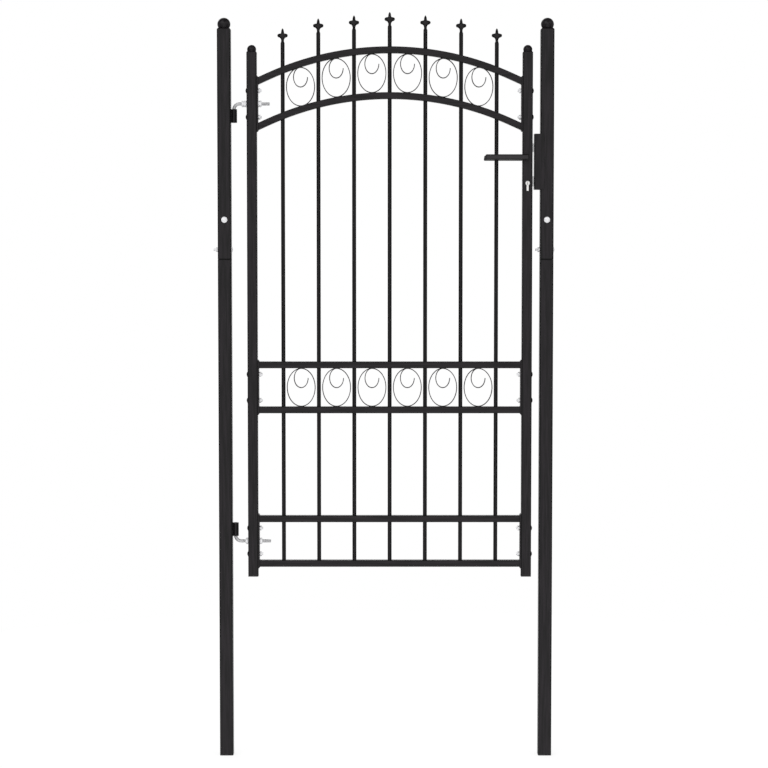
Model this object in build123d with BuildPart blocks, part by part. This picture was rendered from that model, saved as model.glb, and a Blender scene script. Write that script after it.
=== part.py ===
"""Single-leaf arched garden gate of square steel tube, with its two posts.

Millimetres. X runs along the gate from the hinge post to the latch post, Y runs from the
street side (-Y) to the garden side (+Y), Z is up. The origin is the middle of the hinge
post's foot.
"""

import os
from math import asin, cos, degrees, sin, sqrt, tan

from build123d import *

os.makedirs("parts", exist_ok=True)

# Posts: an upper length stands on a lower one over an inner sleeve
post_spacing = 960.0
post_side = 40.0
post_wall = 1.5
post_corner = 4.0
least_corner = 0.3
post_top = 2174.3
post_joint = 1496.0
joint_bevel = 1.0
sleeve_wall = 2.0
sleeve_fit = 0.3
sleeve_below = 150.0
sleeve_above = 165.0
front_bolt_above_joint = 117.4
side_bolt_above_joint = 28.7

# Post caps: a straight skirt, a sloped shoulder and a ball
cap_skirt = 2.5
cap_slope = 3.4
cap_slope_angle = 45.0
cap_ball = 38.5
cap_ball_rise = 17.8
cap_plug_depth = 18.0
plug_fit = 0.3

# End plugs in the feet of the posts and of the stiles
post_plug_rim = 3.0
stile_plug_rim = 6.0
foot_plug_depth = 16.0

# Leaf frame
hinge_gap = 47.0
latch_gap = 23.0
stile_side = 30.0
stile_wall = 1.2
stile_corner = 3.0
stile_foot = 543.3
stile_top = 2107.3
stile_ball = 27.0
stile_ball_rise = 10.6
stile_cap_skirt = 2.0
stile_cap_slope = 2.6

# Rails: three pairs of the same pitch. The top pair is rolled to an arc, and rolls leave the
# last stretch at each end straight
rail_side = 20.0
rail_wall = 1.0
rail_corner = 2.0
rail_pitch = 135.0
bottom_rail_z = 582.2
middle_rail_z = 1045.4
arch_crown_z = 1981.6
arch_radius = 876.0
arch_straight_end = 30.0

# Plates welded on the ends of each pair of rails, and the bolts through them
plate_thickness = 4.0
plate_width = 25.0
plate_overhang = 5.0
plate_bevel = 2.5
stile_bolt_offset = 39.0
arch_plate_drop = 0.6

# Round bars through the rails
bar_count = 7
first_bar_inset = 73.0
bar_diameter = 12.0
bar_hole = 12.3
finial_rise = 111.6
finial_drops = (0.0, 10.0, 19.2, 48.3)

# Finial: a neck, two side lobes with a hollow above each, and a spear with a shoulder
finial_neck = 11.0
finial_neck_height = 14.0
finial_collar_height = 3.0
lobe_span = 30.5
lobe_height = 14.0
lobe_thickness = 9.0
lobe_tip_radius = 2.8
lobe_tip_rise = 9.2
lobe_hollow_radius = 6.0
spear_base = 11.0
spear_shoulder = 8.4
spear_shoulder_height = 9.5
spear_tip = 2.4
spear_height = 16.0

# Scrolls: an oval of flat strip with a curl inside its top
scroll_gap = 4.0
scroll_strip = 2.4
scroll_depth = 10.0
scroll_bite = 0.4
curl_width = 44.0
curl_height = 60.0

# Coach bolts and nuts
bolt_diameter = 8.0
bolt_hole = 8.4
coach_head = 20.0
coach_head_height = 4.4
stile_head = 16.0
stile_head_height = 3.6
nut_flats = 13.0
nut_height = 6.5
post_thread_end = 7.0
stile_thread_end = 4.0

# Hinges: a rod through the stile, bent over into a barrel on the post
hinge_rod = 10.0
hinge_rod_hole = 10.6
hinge_axis_from_post = 9.0
hinge_bend = 16.2
hinge_pin_short = 2.5
hinge_rod_end = 34.0
barrel_diameter = 18.0
barrel_length = 40.0
barrel_bore = 10.8
barrel_clearance = 0.5
barrel_weld = 9.0
hinge_nut_flats = 17.0
hinge_nut_bore = 10.2
hinge_nut_height = 8.0
hinge_jam_height = 5.0
hinge_washer = 20.0
hinge_washer_height = 2.0

# Lock in the latch stile
spindle_z = 1798.4
spindle_inset = 20.0
spindle_side = 8.0
spindle_fit = 0.2
spindle_hole = 12.0
cylinder_z = 1722.0
cylinder_round = 17.0
cylinder_body = 10.0
cylinder_height = 33.0
cylinder_proud = 4.5
cylinder_bevel = 2.0
cylinder_fit = 0.3
key_slot = 2.2
key_slot_height = 9.0
key_slot_depth = 14.0
forend_thickness = 3.0
forend_width = 20.0
forend_low = 1672.0
forend_high = 1868.0
forend_fit = 0.2
forend_corner = 4.0
case_depth = 24.5
case_width = 16.0
case_margin = 14.0
latch_z = 1827.5
latch_height = 25.0
latch_thickness = 12.0
latch_throw = 10.0
latch_kept = 14.0
latch_bevel = 7.0
latch_land = 1.0
dead_z = 1727.8
dead_height = 30.0
dead_throw = 8.0
dead_kept = 14.0
dead_past_cylinder = 0.8
bolt_play = 0.4
nose_proud = 3.8

# Lever handles, one on each side of the stile
lever_height = 15.8
lever_thickness = 9.0
lever_reach = 121.0
lever_past_spindle = 7.0
lever_slant = 6.0
lever_standoff = 24.0
lever_hub = 15.0
lever_gap = 0.6
lever_crown = 2.2
lever_edge = 1.2

# Strike: bent sheet round the latch post's inner corner
strike_gap = 5.0
strike_sheet = 2.0
strike_bend = 3.0
strike_lap = 11.0
strike_low = 1703.2
strike_high = 1868.2
strike_slot_play = 1.6

# Places that follow from the sizes above
hinge_face_x = post_side / 2
latch_post_x = post_spacing
latch_face_x = latch_post_x - post_side / 2
front_bolt_z = post_joint + front_bolt_above_joint
side_bolt_z = post_joint + side_bolt_above_joint
leaf_left = hinge_face_x + hinge_gap
leaf_right = latch_face_x - latch_gap
leaf_middle = (leaf_left + leaf_right) / 2
hinge_stile_x = leaf_left + stile_side / 2
latch_stile_x = leaf_right - stile_side / 2
rails_left = leaf_left + stile_side + plate_thickness
rails_right = leaf_right - stile_side - plate_thickness
rail_length = rails_right - rails_left
arch_centre_z = arch_crown_z - arch_radius
arch_half_angle = asin((rail_length / 2 - arch_straight_end) / arch_radius)
arch_sweep_drop = arch_radius * (1 - cos(arch_half_angle))
arch_end_drop = arch_sweep_drop + arch_straight_end * tan(arch_half_angle)
arch_end_thickness = rail_side / cos(arch_half_angle)
bottom_rail_zs = (bottom_rail_z, bottom_rail_z + rail_pitch)
middle_rail_zs = (middle_rail_z, middle_rail_z + rail_pitch)
arch_centre_zs = (arch_centre_z, arch_centre_z + rail_pitch)
plate_zs = (
    bottom_rail_z + rail_pitch / 2,
    middle_rail_z + rail_pitch / 2,
    arch_crown_z - arch_end_drop + rail_pitch / 2 - arch_plate_drop,
)
plate_height = rail_pitch + rail_side + 2 * plate_overhang
bar_foot = bottom_rail_z - rail_side / 2
bar_pitch = (rail_length - 2 * first_bar_inset) / (bar_count - 1)
scroll_width = bar_pitch - bar_diameter - 2 * scroll_gap
bar_xs = [leaf_middle + (i - (bar_count - 1) / 2) * bar_pitch for i in range(bar_count)]
gap_xs = [(a + b) / 2 for a, b in zip(bar_xs, bar_xs[1:])]
finial_height = finial_neck_height + lobe_height + spear_height
finial_tip_z = arch_crown_z + rail_pitch + finial_rise
bar_tops = [
    finial_tip_z - finial_drops[abs(i - bar_count // 2)] - finial_height for i in range(bar_count)
]
hinge_axis_x = hinge_face_x + hinge_axis_from_post
lower_hinge_z = plate_zs[0]
upper_hinge_z = plate_zs[2]
spindle_x = leaf_right - spindle_inset
forend_z = (forend_low + forend_high) / 2
strike_face_x = leaf_right + strike_gap
lock_pocket_x = leaf_right - forend_thickness
nose_x = leaf_right + nose_proud
latch_back_x = nose_x - latch_throw - latch_kept
dead_foot = dead_z - dead_height / 2
dead_head_x = latch_stile_x + cylinder_round / 2 + dead_past_cylinder
dead_tail_x = nose_x - dead_throw - dead_kept
dead_tail_foot = cylinder_z + cylinder_round / 2 + dead_past_cylinder


def tube(x, low, high, side, wall, corner):
    """An upright square tube, open at both ends, about the point x."""
    with BuildSketch(Plane.XY.offset(low)) as section:
        with Locations((x, 0)):
            RectangleRounded(side, side, corner)
            bore = side - 2 * wall
            RectangleRounded(bore, bore, max(corner - wall, least_corner), mode=Mode.SUBTRACT)
    extrude(section.sketch, amount=high - low)


def cross_hole(x, z, diameter, length, along):
    """A round hole along the X or Y axis, cut through the part being built."""
    turn = (0, 90, 0) if along == Axis.X else (90, 0, 0)
    with Locations(Location((x, 0, z), turn)):
        Cylinder(diameter / 2, length, mode=Mode.SUBTRACT)


def coach_bolt(seat, grip, head, head_height, thread_end):
    """A coach bolt whose domed head stands on the seat plane, with a nut beyond what it grips."""
    dome = (head**2 / 4 + head_height**2) / (2 * head_height)
    head_edge = degrees(asin((dome - head_height) / dome))
    length = grip + nut_height + thread_end
    shank = bolt_diameter / 2
    profile_plane = Plane(origin=seat.origin, x_dir=seat.x_dir, z_dir=-seat.y_dir)
    with BuildSketch(profile_plane) as profile:
        with BuildLine():
            CenterArc((0, head_height - dome), dome, head_edge, 90 - head_edge)
            Polyline((0, head_height), (0, -length), (shank, -length), (shank, 0), (head / 2, 0))
        make_face()
    revolve(profile.sketch, axis=Axis(seat.origin, seat.z_dir))
    with BuildSketch(seat.offset(-grip)) as nut:
        RegularPolygon(nut_flats / 2, 6, major_radius=False)
    extrude(nut.sketch, amount=-nut_height)


def foot_plug(x, foot, rim, side, wall, corner):
    """A plug whose rim closes a tube's foot and whose body fits inside the tube."""
    with BuildSketch(Plane.XY.offset(foot)) as rim_section:
        with Locations((x, 0)):
            RectangleRounded(side, side, corner)
    extrude(rim_section.sketch, amount=rim)
    inner = side - 2 * (wall + plug_fit)
    with BuildSketch(Plane.XY.offset(foot + rim)) as body_section:
        with Locations((x, 0)):
            RectangleRounded(inner, inner, max(corner - wall, least_corner))
    extrude(body_section.sketch, amount=foot_plug_depth)


def ball_cap(x, top, side, wall, corner, skirt, slope, ball, rise):
    """A tube cap: plug, straight skirt, sloped shoulder, and a ball."""
    inner = side - 2 * (wall + plug_fit)
    with BuildSketch(Plane.XY.offset(top)) as plug_section:
        with Locations((x, 0)):
            RectangleRounded(inner, inner, max(corner - wall, least_corner))
    extrude(plug_section.sketch, amount=-cap_plug_depth)
    with BuildSketch(Plane.XY.offset(top)) as skirt_section:
        with Locations((x, 0)):
            RectangleRounded(side, side, corner)
    extrude(skirt_section.sketch, amount=skirt)
    with BuildSketch(Plane.XY.offset(top + skirt)) as shoulder_section:
        with Locations((x, 0)):
            RectangleRounded(side, side, corner)
    extrude(shoulder_section.sketch, amount=slope, taper=cap_slope_angle)
    with Locations((x, 0, top + rise)):
        Sphere(ball / 2)


def save(piece, name):
    """Label a finished piece and write it as its own STEP file."""
    piece.label = name
    export_step(piece, f"parts/{name}.step")


# Posts
for post, x in (("hinge", 0.0), ("latch", latch_post_x)):
    with BuildPart() as lower_length:
        tube(x, post_plug_rim, post_joint, post_side, post_wall, post_corner)
        joint_end = lower_length.faces().sort_by(Axis.Z)[-1]
        chamfer(joint_end.outer_wire().edges(), joint_bevel)
    save(lower_length.part, f"{post}_post_lower")

    with BuildPart() as upper_length:
        tube(x, post_joint, post_top, post_side, post_wall, post_corner)
        joint_end = upper_length.faces().sort_by(Axis.Z)[0]
        chamfer(joint_end.outer_wire().edges(), joint_bevel)
        cross_hole(x, front_bolt_z, bolt_hole, 2 * post_side, Axis.Y)
        cross_hole(x, side_bolt_z, bolt_hole, 2 * post_side, Axis.X)
    save(upper_length.part, f"{post}_post_upper")

    with BuildPart() as post_cap:
        ball_cap(
            x, post_top, post_side, post_wall, post_corner, cap_skirt, cap_slope, cap_ball, cap_ball_rise
        )
    save(post_cap.part, f"{post}_post_cap")

with BuildPart() as post_sleeves:
    sleeve_side = post_side - 2 * (post_wall + sleeve_fit)
    sleeve_low = post_joint - sleeve_below
    sleeve_high = post_joint + sleeve_above
    for x in (0.0, latch_post_x):
        tube(x, sleeve_low, sleeve_high, sleeve_side, sleeve_wall, post_corner - post_wall)
        cross_hole(x, front_bolt_z, bolt_hole, 2 * post_side, Axis.Y)
        cross_hole(x, side_bolt_z, bolt_hole, 2 * post_side, Axis.X)
save(post_sleeves.part, "post_sleeves")

with BuildPart() as post_foot_plugs:
    for x in (0.0, latch_post_x):
        foot_plug(x, 0.0, post_plug_rim, post_side, post_wall, post_corner)
save(post_foot_plugs.part, "post_foot_plugs")

with BuildPart() as post_bolts:
    for x in (0.0, latch_post_x):
        front = Plane(origin=(x, -post_side / 2, front_bolt_z), z_dir=(0, -1, 0))
        right = Plane(origin=(x + post_side / 2, 0, side_bolt_z), z_dir=(1, 0, 0))
        coach_bolt(front, post_side, coach_head, coach_head_height, post_thread_end)
        coach_bolt(right, post_side, coach_head, coach_head_height, post_thread_end)
save(post_bolts.part, "post_bolts")

# Hinges: the upper pin points down into its barrel, the lower one points up
for name, z, way in (("upper", upper_hinge_z, -1), ("lower", lower_hinge_z, 1)):
    barrel_near = z + way * (hinge_bend - barrel_clearance)
    barrel_far = barrel_near + way * barrel_length
    pin_end = barrel_far - way * hinge_pin_short

    with BuildPart() as barrel:
        with BuildSketch(Plane.XY.offset(min(barrel_near, barrel_far))):
            with Locations((hinge_axis_x, 0)):
                Circle(barrel_diameter / 2)
            with Locations((hinge_face_x, 0)):
                Rectangle(hinge_axis_from_post, barrel_weld, align=(Align.MIN, Align.CENTER))
            with Locations((hinge_axis_x, 0)):
                Circle(barrel_bore / 2, mode=Mode.SUBTRACT)
        extrude(amount=barrel_length)
    save(barrel.part, f"{name}_hinge_barrel")

    with BuildPart() as hinge_bolt:
        rod_end_x = rails_left + hinge_rod_end
        with BuildLine():
            FilletPolyline(
                (rod_end_x, 0, z), (hinge_axis_x, 0, z), (hinge_axis_x, 0, pin_end), radius=hinge_bend
            )
        with BuildSketch(Plane(origin=(rod_end_x, 0, z), z_dir=(-1, 0, 0))):
            Circle(hinge_rod / 2)
        sweep()
    save(hinge_bolt.part, f"{name}_hinge_bolt")


def hinge_nut(x, z, way, height, washer):
    """A nut, on a washer if it has one, that presses on the face at x and grows along way."""
    face = Plane(origin=(x, 0, z), x_dir=(0, 1, 0), z_dir=(way, 0, 0))
    seat = hinge_washer_height if washer else 0.0
    if washer:
        with BuildSketch(face) as ring:
            Circle(hinge_washer / 2)
            Circle(hinge_nut_bore / 2, mode=Mode.SUBTRACT)
        extrude(ring.sketch, amount=seat)
    with BuildSketch(face.offset(seat)) as hexagon:
        RegularPolygon(hinge_nut_flats / 2, 6, major_radius=False, rotation=30)
        Circle(hinge_nut_bore / 2, mode=Mode.SUBTRACT)
    extrude(hexagon.sketch, amount=height)


with BuildPart() as hinge_nuts:
    stack = hinge_washer_height + hinge_nut_height
    hinge_nut(leaf_left, upper_hinge_z, -1, hinge_nut_height, True)
    hinge_nut(leaf_left - stack, upper_hinge_z, -1, hinge_jam_height, False)
    hinge_nut(rails_left, upper_hinge_z, 1, hinge_nut_height, True)
    hinge_nut(leaf_left, lower_hinge_z, -1, hinge_nut_height, False)
    hinge_nut(rails_left, lower_hinge_z, 1, hinge_nut_height, False)
save(hinge_nuts.part, "hinge_nuts")


# Leaf frame
def plate_bolt_holes(x):
    """Holes for the two coach bolts of each rail end plate."""
    for plate_z in plate_zs:
        for side in (-1, 1):
            cross_hole(x, plate_z + side * stile_bolt_offset, bolt_hole, 2 * stile_side, Axis.X)


def cylinder_outline(growth):
    """The lock cylinder's profile: a round top with a narrow body hanging from it."""
    radius = cylinder_round / 2
    Circle(radius + growth)
    with Locations((0, radius - cylinder_height - growth)):
        Rectangle(
            cylinder_body + 2 * growth,
            cylinder_height - radius + growth,
            align=(Align.CENTER, Align.MIN),
        )


cylinder_plane = Plane(origin=(latch_stile_x, 0, cylinder_z), x_dir=(1, 0, 0), z_dir=(0, -1, 0))

with BuildPart() as hinge_stile:
    tube(hinge_stile_x, stile_foot + stile_plug_rim, stile_top, stile_side, stile_wall, stile_corner)
    plate_bolt_holes(hinge_stile_x)
    for z in (lower_hinge_z, upper_hinge_z):
        cross_hole(hinge_stile_x, z, hinge_rod_hole, 2 * stile_side, Axis.X)
save(hinge_stile.part, "hinge_stile")

with BuildPart() as latch_stile:
    tube(latch_stile_x, stile_foot + stile_plug_rim, stile_top, stile_side, stile_wall, stile_corner)
    plate_bolt_holes(latch_stile_x)
    with BuildSketch(cylinder_plane):
        cylinder_outline(cylinder_fit)
    extrude(amount=stile_side, both=True, mode=Mode.SUBTRACT)
    cross_hole(spindle_x, spindle_z, spindle_hole, 2 * stile_side, Axis.Y)
    with BuildSketch(Plane(origin=(leaf_right, 0, forend_z), x_dir=(0, 1, 0), z_dir=(1, 0, 0))):
        RectangleRounded(
            forend_width + 2 * forend_fit,
            forend_high - forend_low + 2 * forend_fit,
            forend_corner + forend_fit,
        )
    extrude(amount=-forend_thickness, mode=Mode.SUBTRACT)
save(latch_stile.part, "latch_stile")

with BuildPart() as stile_caps:
    for x in (hinge_stile_x, latch_stile_x):
        ball_cap(
            x,
            stile_top,
            stile_side,
            stile_wall,
            stile_corner,
            stile_cap_skirt,
            stile_cap_slope,
            stile_ball,
            stile_ball_rise,
        )
save(stile_caps.part, "stile_caps")

with BuildPart() as stile_foot_plugs:
    for x in (hinge_stile_x, latch_stile_x):
        foot_plug(x, stile_foot, stile_plug_rim, stile_side, stile_wall, stile_corner)
save(stile_foot_plugs.part, "stile_foot_plugs")

with BuildPart() as rail_end_plates:
    for inner_x, way in ((leaf_left + stile_side, 1), (leaf_right - stile_side, -1)):
        for plate_z in plate_zs:
            half = plate_height / 2
            with BuildSketch(Plane.XZ.offset(-plate_width / 2)):
                with BuildLine():
                    Polyline(
                        (inner_x, plate_z - half),
                        (inner_x + way * (plate_thickness - plate_bevel), plate_z - half),
                        (inner_x + way * plate_thickness, plate_z - half + plate_bevel),
                        (inner_x + way * plate_thickness, plate_z + half - plate_bevel),
                        (inner_x + way * (plate_thickness - plate_bevel), plate_z + half),
                        (inner_x, plate_z + half),
                        close=True,
                    )
                make_face()
            extrude(amount=plate_width)
            for side in (-1, 1):
                cross_hole(inner_x, plate_z + side * stile_bolt_offset, bolt_hole, 4 * plate_thickness, Axis.X)
    for z in (lower_hinge_z, upper_hinge_z):
        cross_hole(leaf_left + stile_side, z, hinge_rod_hole, 4 * plate_thickness, Axis.X)
save(rail_end_plates.part, "rail_end_plates")

with BuildPart() as stile_bolts:
    for outer_x, way in ((leaf_left, -1), (leaf_right, 1)):
        for plate_z in plate_zs:
            for side in (-1, 1):
                seat = Plane(
                    origin=(outer_x, 0, plate_z + side * stile_bolt_offset), z_dir=(way, 0, 0)
                )
                grip = stile_side + plate_thickness
                coach_bolt(seat, grip, stile_head, stile_head_height, stile_thread_end)
save(stile_bolts.part, "stile_bolts")


# Rails
def bar_holes(low, high):
    """Punched holes for every bar between two heights."""
    for bar_x in bar_xs:
        with Locations((bar_x, 0, (low + high) / 2)):
            Cylinder(bar_hole / 2, high - low, mode=Mode.SUBTRACT)


def rail_section(hollow):
    """The rail's square section with rounded corners, as a tube or filled."""
    RectangleRounded(rail_side, rail_side, rail_corner)
    if hollow:
        bore = rail_side - 2 * rail_wall
        RectangleRounded(bore, bore, max(rail_corner - rail_wall, least_corner), mode=Mode.SUBTRACT)


def straight_rail(z):
    """A level square tube between the end plates, punched for the bars."""
    with BuildSketch(Plane(origin=(rails_left, 0, z), z_dir=(1, 0, 0))) as section:
        rail_section(hollow=True)
    extrude(section.sketch, amount=rail_length)
    bar_holes(z - rail_side, z + rail_side)


def arch(centre_z, hollow):
    """A rail rolled to an arc between straight ends, and cut upright at the end plates."""
    centre = Vector(leaf_middle, 0, centre_z)
    across = arch_radius * sin(arch_half_angle)
    rise = arch_radius * cos(arch_half_angle)
    lean = tan(arch_half_angle)
    straight = (arch_straight_end + rail_side) / cos(arch_half_angle)
    for side in (-1, 1):
        end = centre + Vector(side * across, 0, rise)
        with BuildSketch(Plane(origin=end, x_dir=(0, 1, 0), z_dir=(side, 0, -lean))) as section:
            rail_section(hollow)
        extrude(section.sketch, amount=straight)
    revolve(section.sketch, axis=Axis(centre, (0, -1, 0)), revolution_arc=2 * degrees(arch_half_angle))
    with Locations((leaf_middle, 0, centre_z + arch_radius - arch_end_drop / 2)):
        Box(rail_length, 2 * rail_side, arch_end_drop + 4 * rail_side, mode=Mode.INTERSECT)


for name, z in zip(("bottom_lower_rail", "bottom_upper_rail"), bottom_rail_zs):
    with BuildPart() as rail:
        straight_rail(z)
    save(rail.part, name)

for name, z in zip(("middle_lower_rail", "middle_upper_rail"), middle_rail_zs):
    with BuildPart() as rail:
        straight_rail(z)
    save(rail.part, name)

for name, centre_z in zip(("lower_arch_rail", "upper_arch_rail"), arch_centre_zs):
    with BuildPart() as rail:
        arch(centre_z, hollow=True)
        crown_z = centre_z + arch_radius
        bar_holes(crown_z - arch_end_drop - rail_side, crown_z + rail_side)
    save(rail.part, name)

# Bars and finials
for i, (bar_x, bar_top) in enumerate(zip(bar_xs, bar_tops), start=1):
    with BuildPart() as bar:
        with BuildSketch(Plane.XY.offset(bar_foot)):
            with Locations((bar_x, 0)):
                Circle(bar_diameter / 2)
        extrude(amount=bar_top - bar_foot)
    save(bar.part, f"bar_{i}")


def finial(x, foot):
    """A cast spear point: turned neck, flat lobed body and a four-sided spear."""
    with BuildSketch(Plane.XY.offset(foot)) as collar:
        with Locations((x, 0)):
            Circle(bar_diameter / 2)
    extrude(collar.sketch, amount=finial_collar_height)
    body_foot = foot + finial_neck_height
    with BuildSketch(Plane.XY.offset(foot + finial_collar_height)) as neck:
        with Locations((x, 0)):
            Circle(finial_neck / 2)
    extrude(neck.sketch, amount=finial_neck_height - finial_collar_height + lobe_height / 2)
    body_plane = Plane(origin=(x, lobe_thickness / 2, body_foot), x_dir=(1, 0, 0), z_dir=(0, -1, 0))
    tip_x = lobe_span / 2 - lobe_tip_radius
    tip_top = lobe_tip_rise + lobe_tip_radius
    with BuildSketch(body_plane) as body:
        with BuildLine():
            Polyline(
                (spear_base / 2, lobe_height),
                (0, lobe_height),
                (0, 0),
                (finial_neck / 2, 0),
                (tip_x, lobe_tip_rise - lobe_tip_radius),
                (tip_x, tip_top),
            )
            RadiusArc((tip_x, tip_top), (spear_base / 2, lobe_height), lobe_hollow_radius)
        make_face()
        with Locations((tip_x, lobe_tip_rise)):
            Circle(lobe_tip_radius)
        mirror(about=Plane.YZ)
    extrude(body.sketch, amount=lobe_thickness)
    spear_foot = body_foot + lobe_height
    with BuildSketch(Plane.XY.offset(spear_foot)) as spear_low:
        with Locations((x, 0)):
            Rectangle(spear_base, lobe_thickness)
    with BuildSketch(Plane.XY.offset(spear_foot + spear_shoulder_height)) as shoulder:
        with Locations((x, 0)):
            Rectangle(spear_shoulder, spear_shoulder)
    with BuildSketch(Plane.XY.offset(spear_foot + spear_height)) as spear_high:
        with Locations((x, 0)):
            Rectangle(spear_tip, spear_tip)
    loft([spear_low.sketch, shoulder.sketch])
    loft([shoulder.sketch, spear_high.sketch])


with BuildPart() as finials:
    for bar_x, bar_top in zip(bar_xs, bar_tops):
        finial(bar_x, bar_top)
save(finials.part, "finials")


# Scrolls
def scroll(x, z, height):
    """An oval of flat strip, with a curl that hangs inside its top and ends at the right."""
    with BuildSketch(Plane.XZ.offset(-scroll_depth / 2)) as strip:
        with Locations((x, z)):
            Ellipse(scroll_width / 2, height / 2)
            Ellipse(
                scroll_width / 2 - scroll_strip, height / 2 - scroll_strip, mode=Mode.SUBTRACT
            )
        with BuildSketch(mode=Mode.PRIVATE) as curl:
            Ellipse(curl_width / 2, curl_height / 2)
            Ellipse(curl_width / 2 - scroll_strip, curl_height / 2 - scroll_strip, mode=Mode.SUBTRACT)
            Rectangle(
                curl_width, curl_height, align=(Align.MIN, Align.MIN), mode=Mode.SUBTRACT
            )
        with Locations((x, z + height / 2 - curl_height / 2)):
            add(curl.sketch)
    extrude(strip.sketch, amount=scroll_depth)


straight_clear = rail_pitch - rail_side
with BuildPart() as middle_scrolls:
    middle_z = middle_rail_z + rail_pitch / 2
    for gap_x in gap_xs:
        scroll(gap_x, middle_z, straight_clear + 2 * scroll_bite)
    for rail_z in middle_rail_zs:
        with Locations((leaf_middle, 0, rail_z)):
            Box(rail_length, rail_side, rail_side, mode=Mode.SUBTRACT)
save(middle_scrolls.part, "middle_scrolls")

with BuildPart() as upper_scrolls:
    for gap_x in gap_xs:
        reach = gap_x - leaf_middle
        axis_z = arch_centre_z + sqrt(arch_radius**2 - reach**2) + rail_pitch / 2
        scroll(gap_x, axis_z, straight_clear + 2 * scroll_bite)
    for centre_z in arch_centre_zs:
        with BuildPart(mode=Mode.PRIVATE) as rail_outline:
            arch(centre_z, hollow=False)
        add(rail_outline.part, mode=Mode.SUBTRACT)
save(upper_scrolls.part, "upper_scrolls")

# Lock in the latch stile
with BuildPart() as lock_forend:
    with BuildSketch(Plane(origin=(lock_pocket_x, 0, forend_z), x_dir=(0, 1, 0), z_dir=(1, 0, 0))):
        RectangleRounded(forend_width, forend_high - forend_low, forend_corner)
    extrude(amount=forend_thickness)
    for z, height in ((latch_z, latch_height), (dead_z, dead_height)):
        with Locations((lock_pocket_x, 0, z)):
            Box(
                4 * forend_thickness,
                latch_thickness + 2 * bolt_play,
                height + 2 * bolt_play,
                mode=Mode.SUBTRACT,
            )
save(lock_forend.part, "lock_forend")


def bolt_pocket(back_x, low, high):
    """A pocket in the lock case for a bolt that reaches back to back_x, with play all round."""
    with Locations((lock_pocket_x, 0, (low + high) / 2)):
        Box(
            lock_pocket_x - back_x + bolt_play,
            latch_thickness + 2 * bolt_play,
            high - low + 2 * bolt_play,
            align=(Align.MAX, Align.CENTER, Align.CENTER),
            mode=Mode.SUBTRACT,
        )


with BuildPart() as lock_case:
    case_low = cylinder_z + cylinder_round / 2 - cylinder_height - case_margin / 2
    case_high = latch_z + latch_height / 2 + case_margin
    with Locations((lock_pocket_x, 0, (case_low + case_high) / 2)):
        Box(case_depth, case_width, case_high - case_low, align=(Align.MAX, Align.CENTER, Align.CENTER))
    bolt_pocket(latch_back_x, latch_z - latch_height / 2, latch_z + latch_height / 2)
    bolt_pocket(dead_head_x, dead_foot, dead_foot + dead_height)
    bolt_pocket(dead_tail_x, dead_tail_foot, dead_foot + dead_height)
    with BuildSketch(cylinder_plane):
        cylinder_outline(cylinder_fit)
    extrude(amount=stile_side, both=True, mode=Mode.SUBTRACT)
    cross_hole(spindle_x, spindle_z, spindle_hole, 2 * stile_side, Axis.Y)
save(lock_case.part, "lock_case")

with BuildPart() as lock_cylinder:
    with BuildSketch(cylinder_plane.offset(-stile_side / 2 - cylinder_proud)):
        cylinder_outline(0)
    extrude(amount=stile_side + 2 * cylinder_proud)
    for end in (lock_cylinder.faces().sort_by(Axis.Y)[0], lock_cylinder.faces().sort_by(Axis.Y)[-1]):
        chamfer(end.outer_wire().edges(), cylinder_bevel)
    for side in (-1, 1):
        with Locations((latch_stile_x, side * (stile_side / 2 + cylinder_proud), cylinder_z)):
            Box(key_slot, 2 * key_slot_depth, key_slot_height, mode=Mode.SUBTRACT)
save(lock_cylinder.part, "lock_cylinder")

with BuildPart() as latch_bolt:
    with BuildSketch(Plane.XY.offset(latch_z - latch_height / 2)):
        with BuildLine():
            half = latch_thickness / 2
            Polyline(
                (latch_back_x, -half),
                (nose_x, -half),
                (nose_x, latch_land - half),
                (nose_x - latch_bevel, half),
                (latch_back_x, half),
                close=True,
            )
        make_face()
    extrude(amount=latch_height)
save(latch_bolt.part, "latch_bolt")

with BuildPart() as dead_bolt:
    with BuildSketch(Plane.XZ.offset(-latch_thickness / 2)):
        with BuildLine():
            Polyline(
                (dead_head_x, dead_foot),
                (nose_x, dead_foot),
                (nose_x, dead_foot + dead_height),
                (dead_tail_x, dead_foot + dead_height),
                (dead_tail_x, dead_tail_foot),
                (dead_head_x, dead_tail_foot),
                close=True,
            )
        make_face()
    extrude(amount=latch_thickness)
save(dead_bolt.part, "dead_bolt")

# Lever handles and spindle
lever_face = stile_side / 2 + lever_standoff + lever_thickness
spindle_reach = lever_face - lever_thickness / 2

with BuildPart() as lever_spindle:
    with Locations((spindle_x, 0, spindle_z)):
        Box(spindle_side, 2 * spindle_reach, spindle_side)
save(lever_spindle.part, "lever_spindle")

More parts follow.
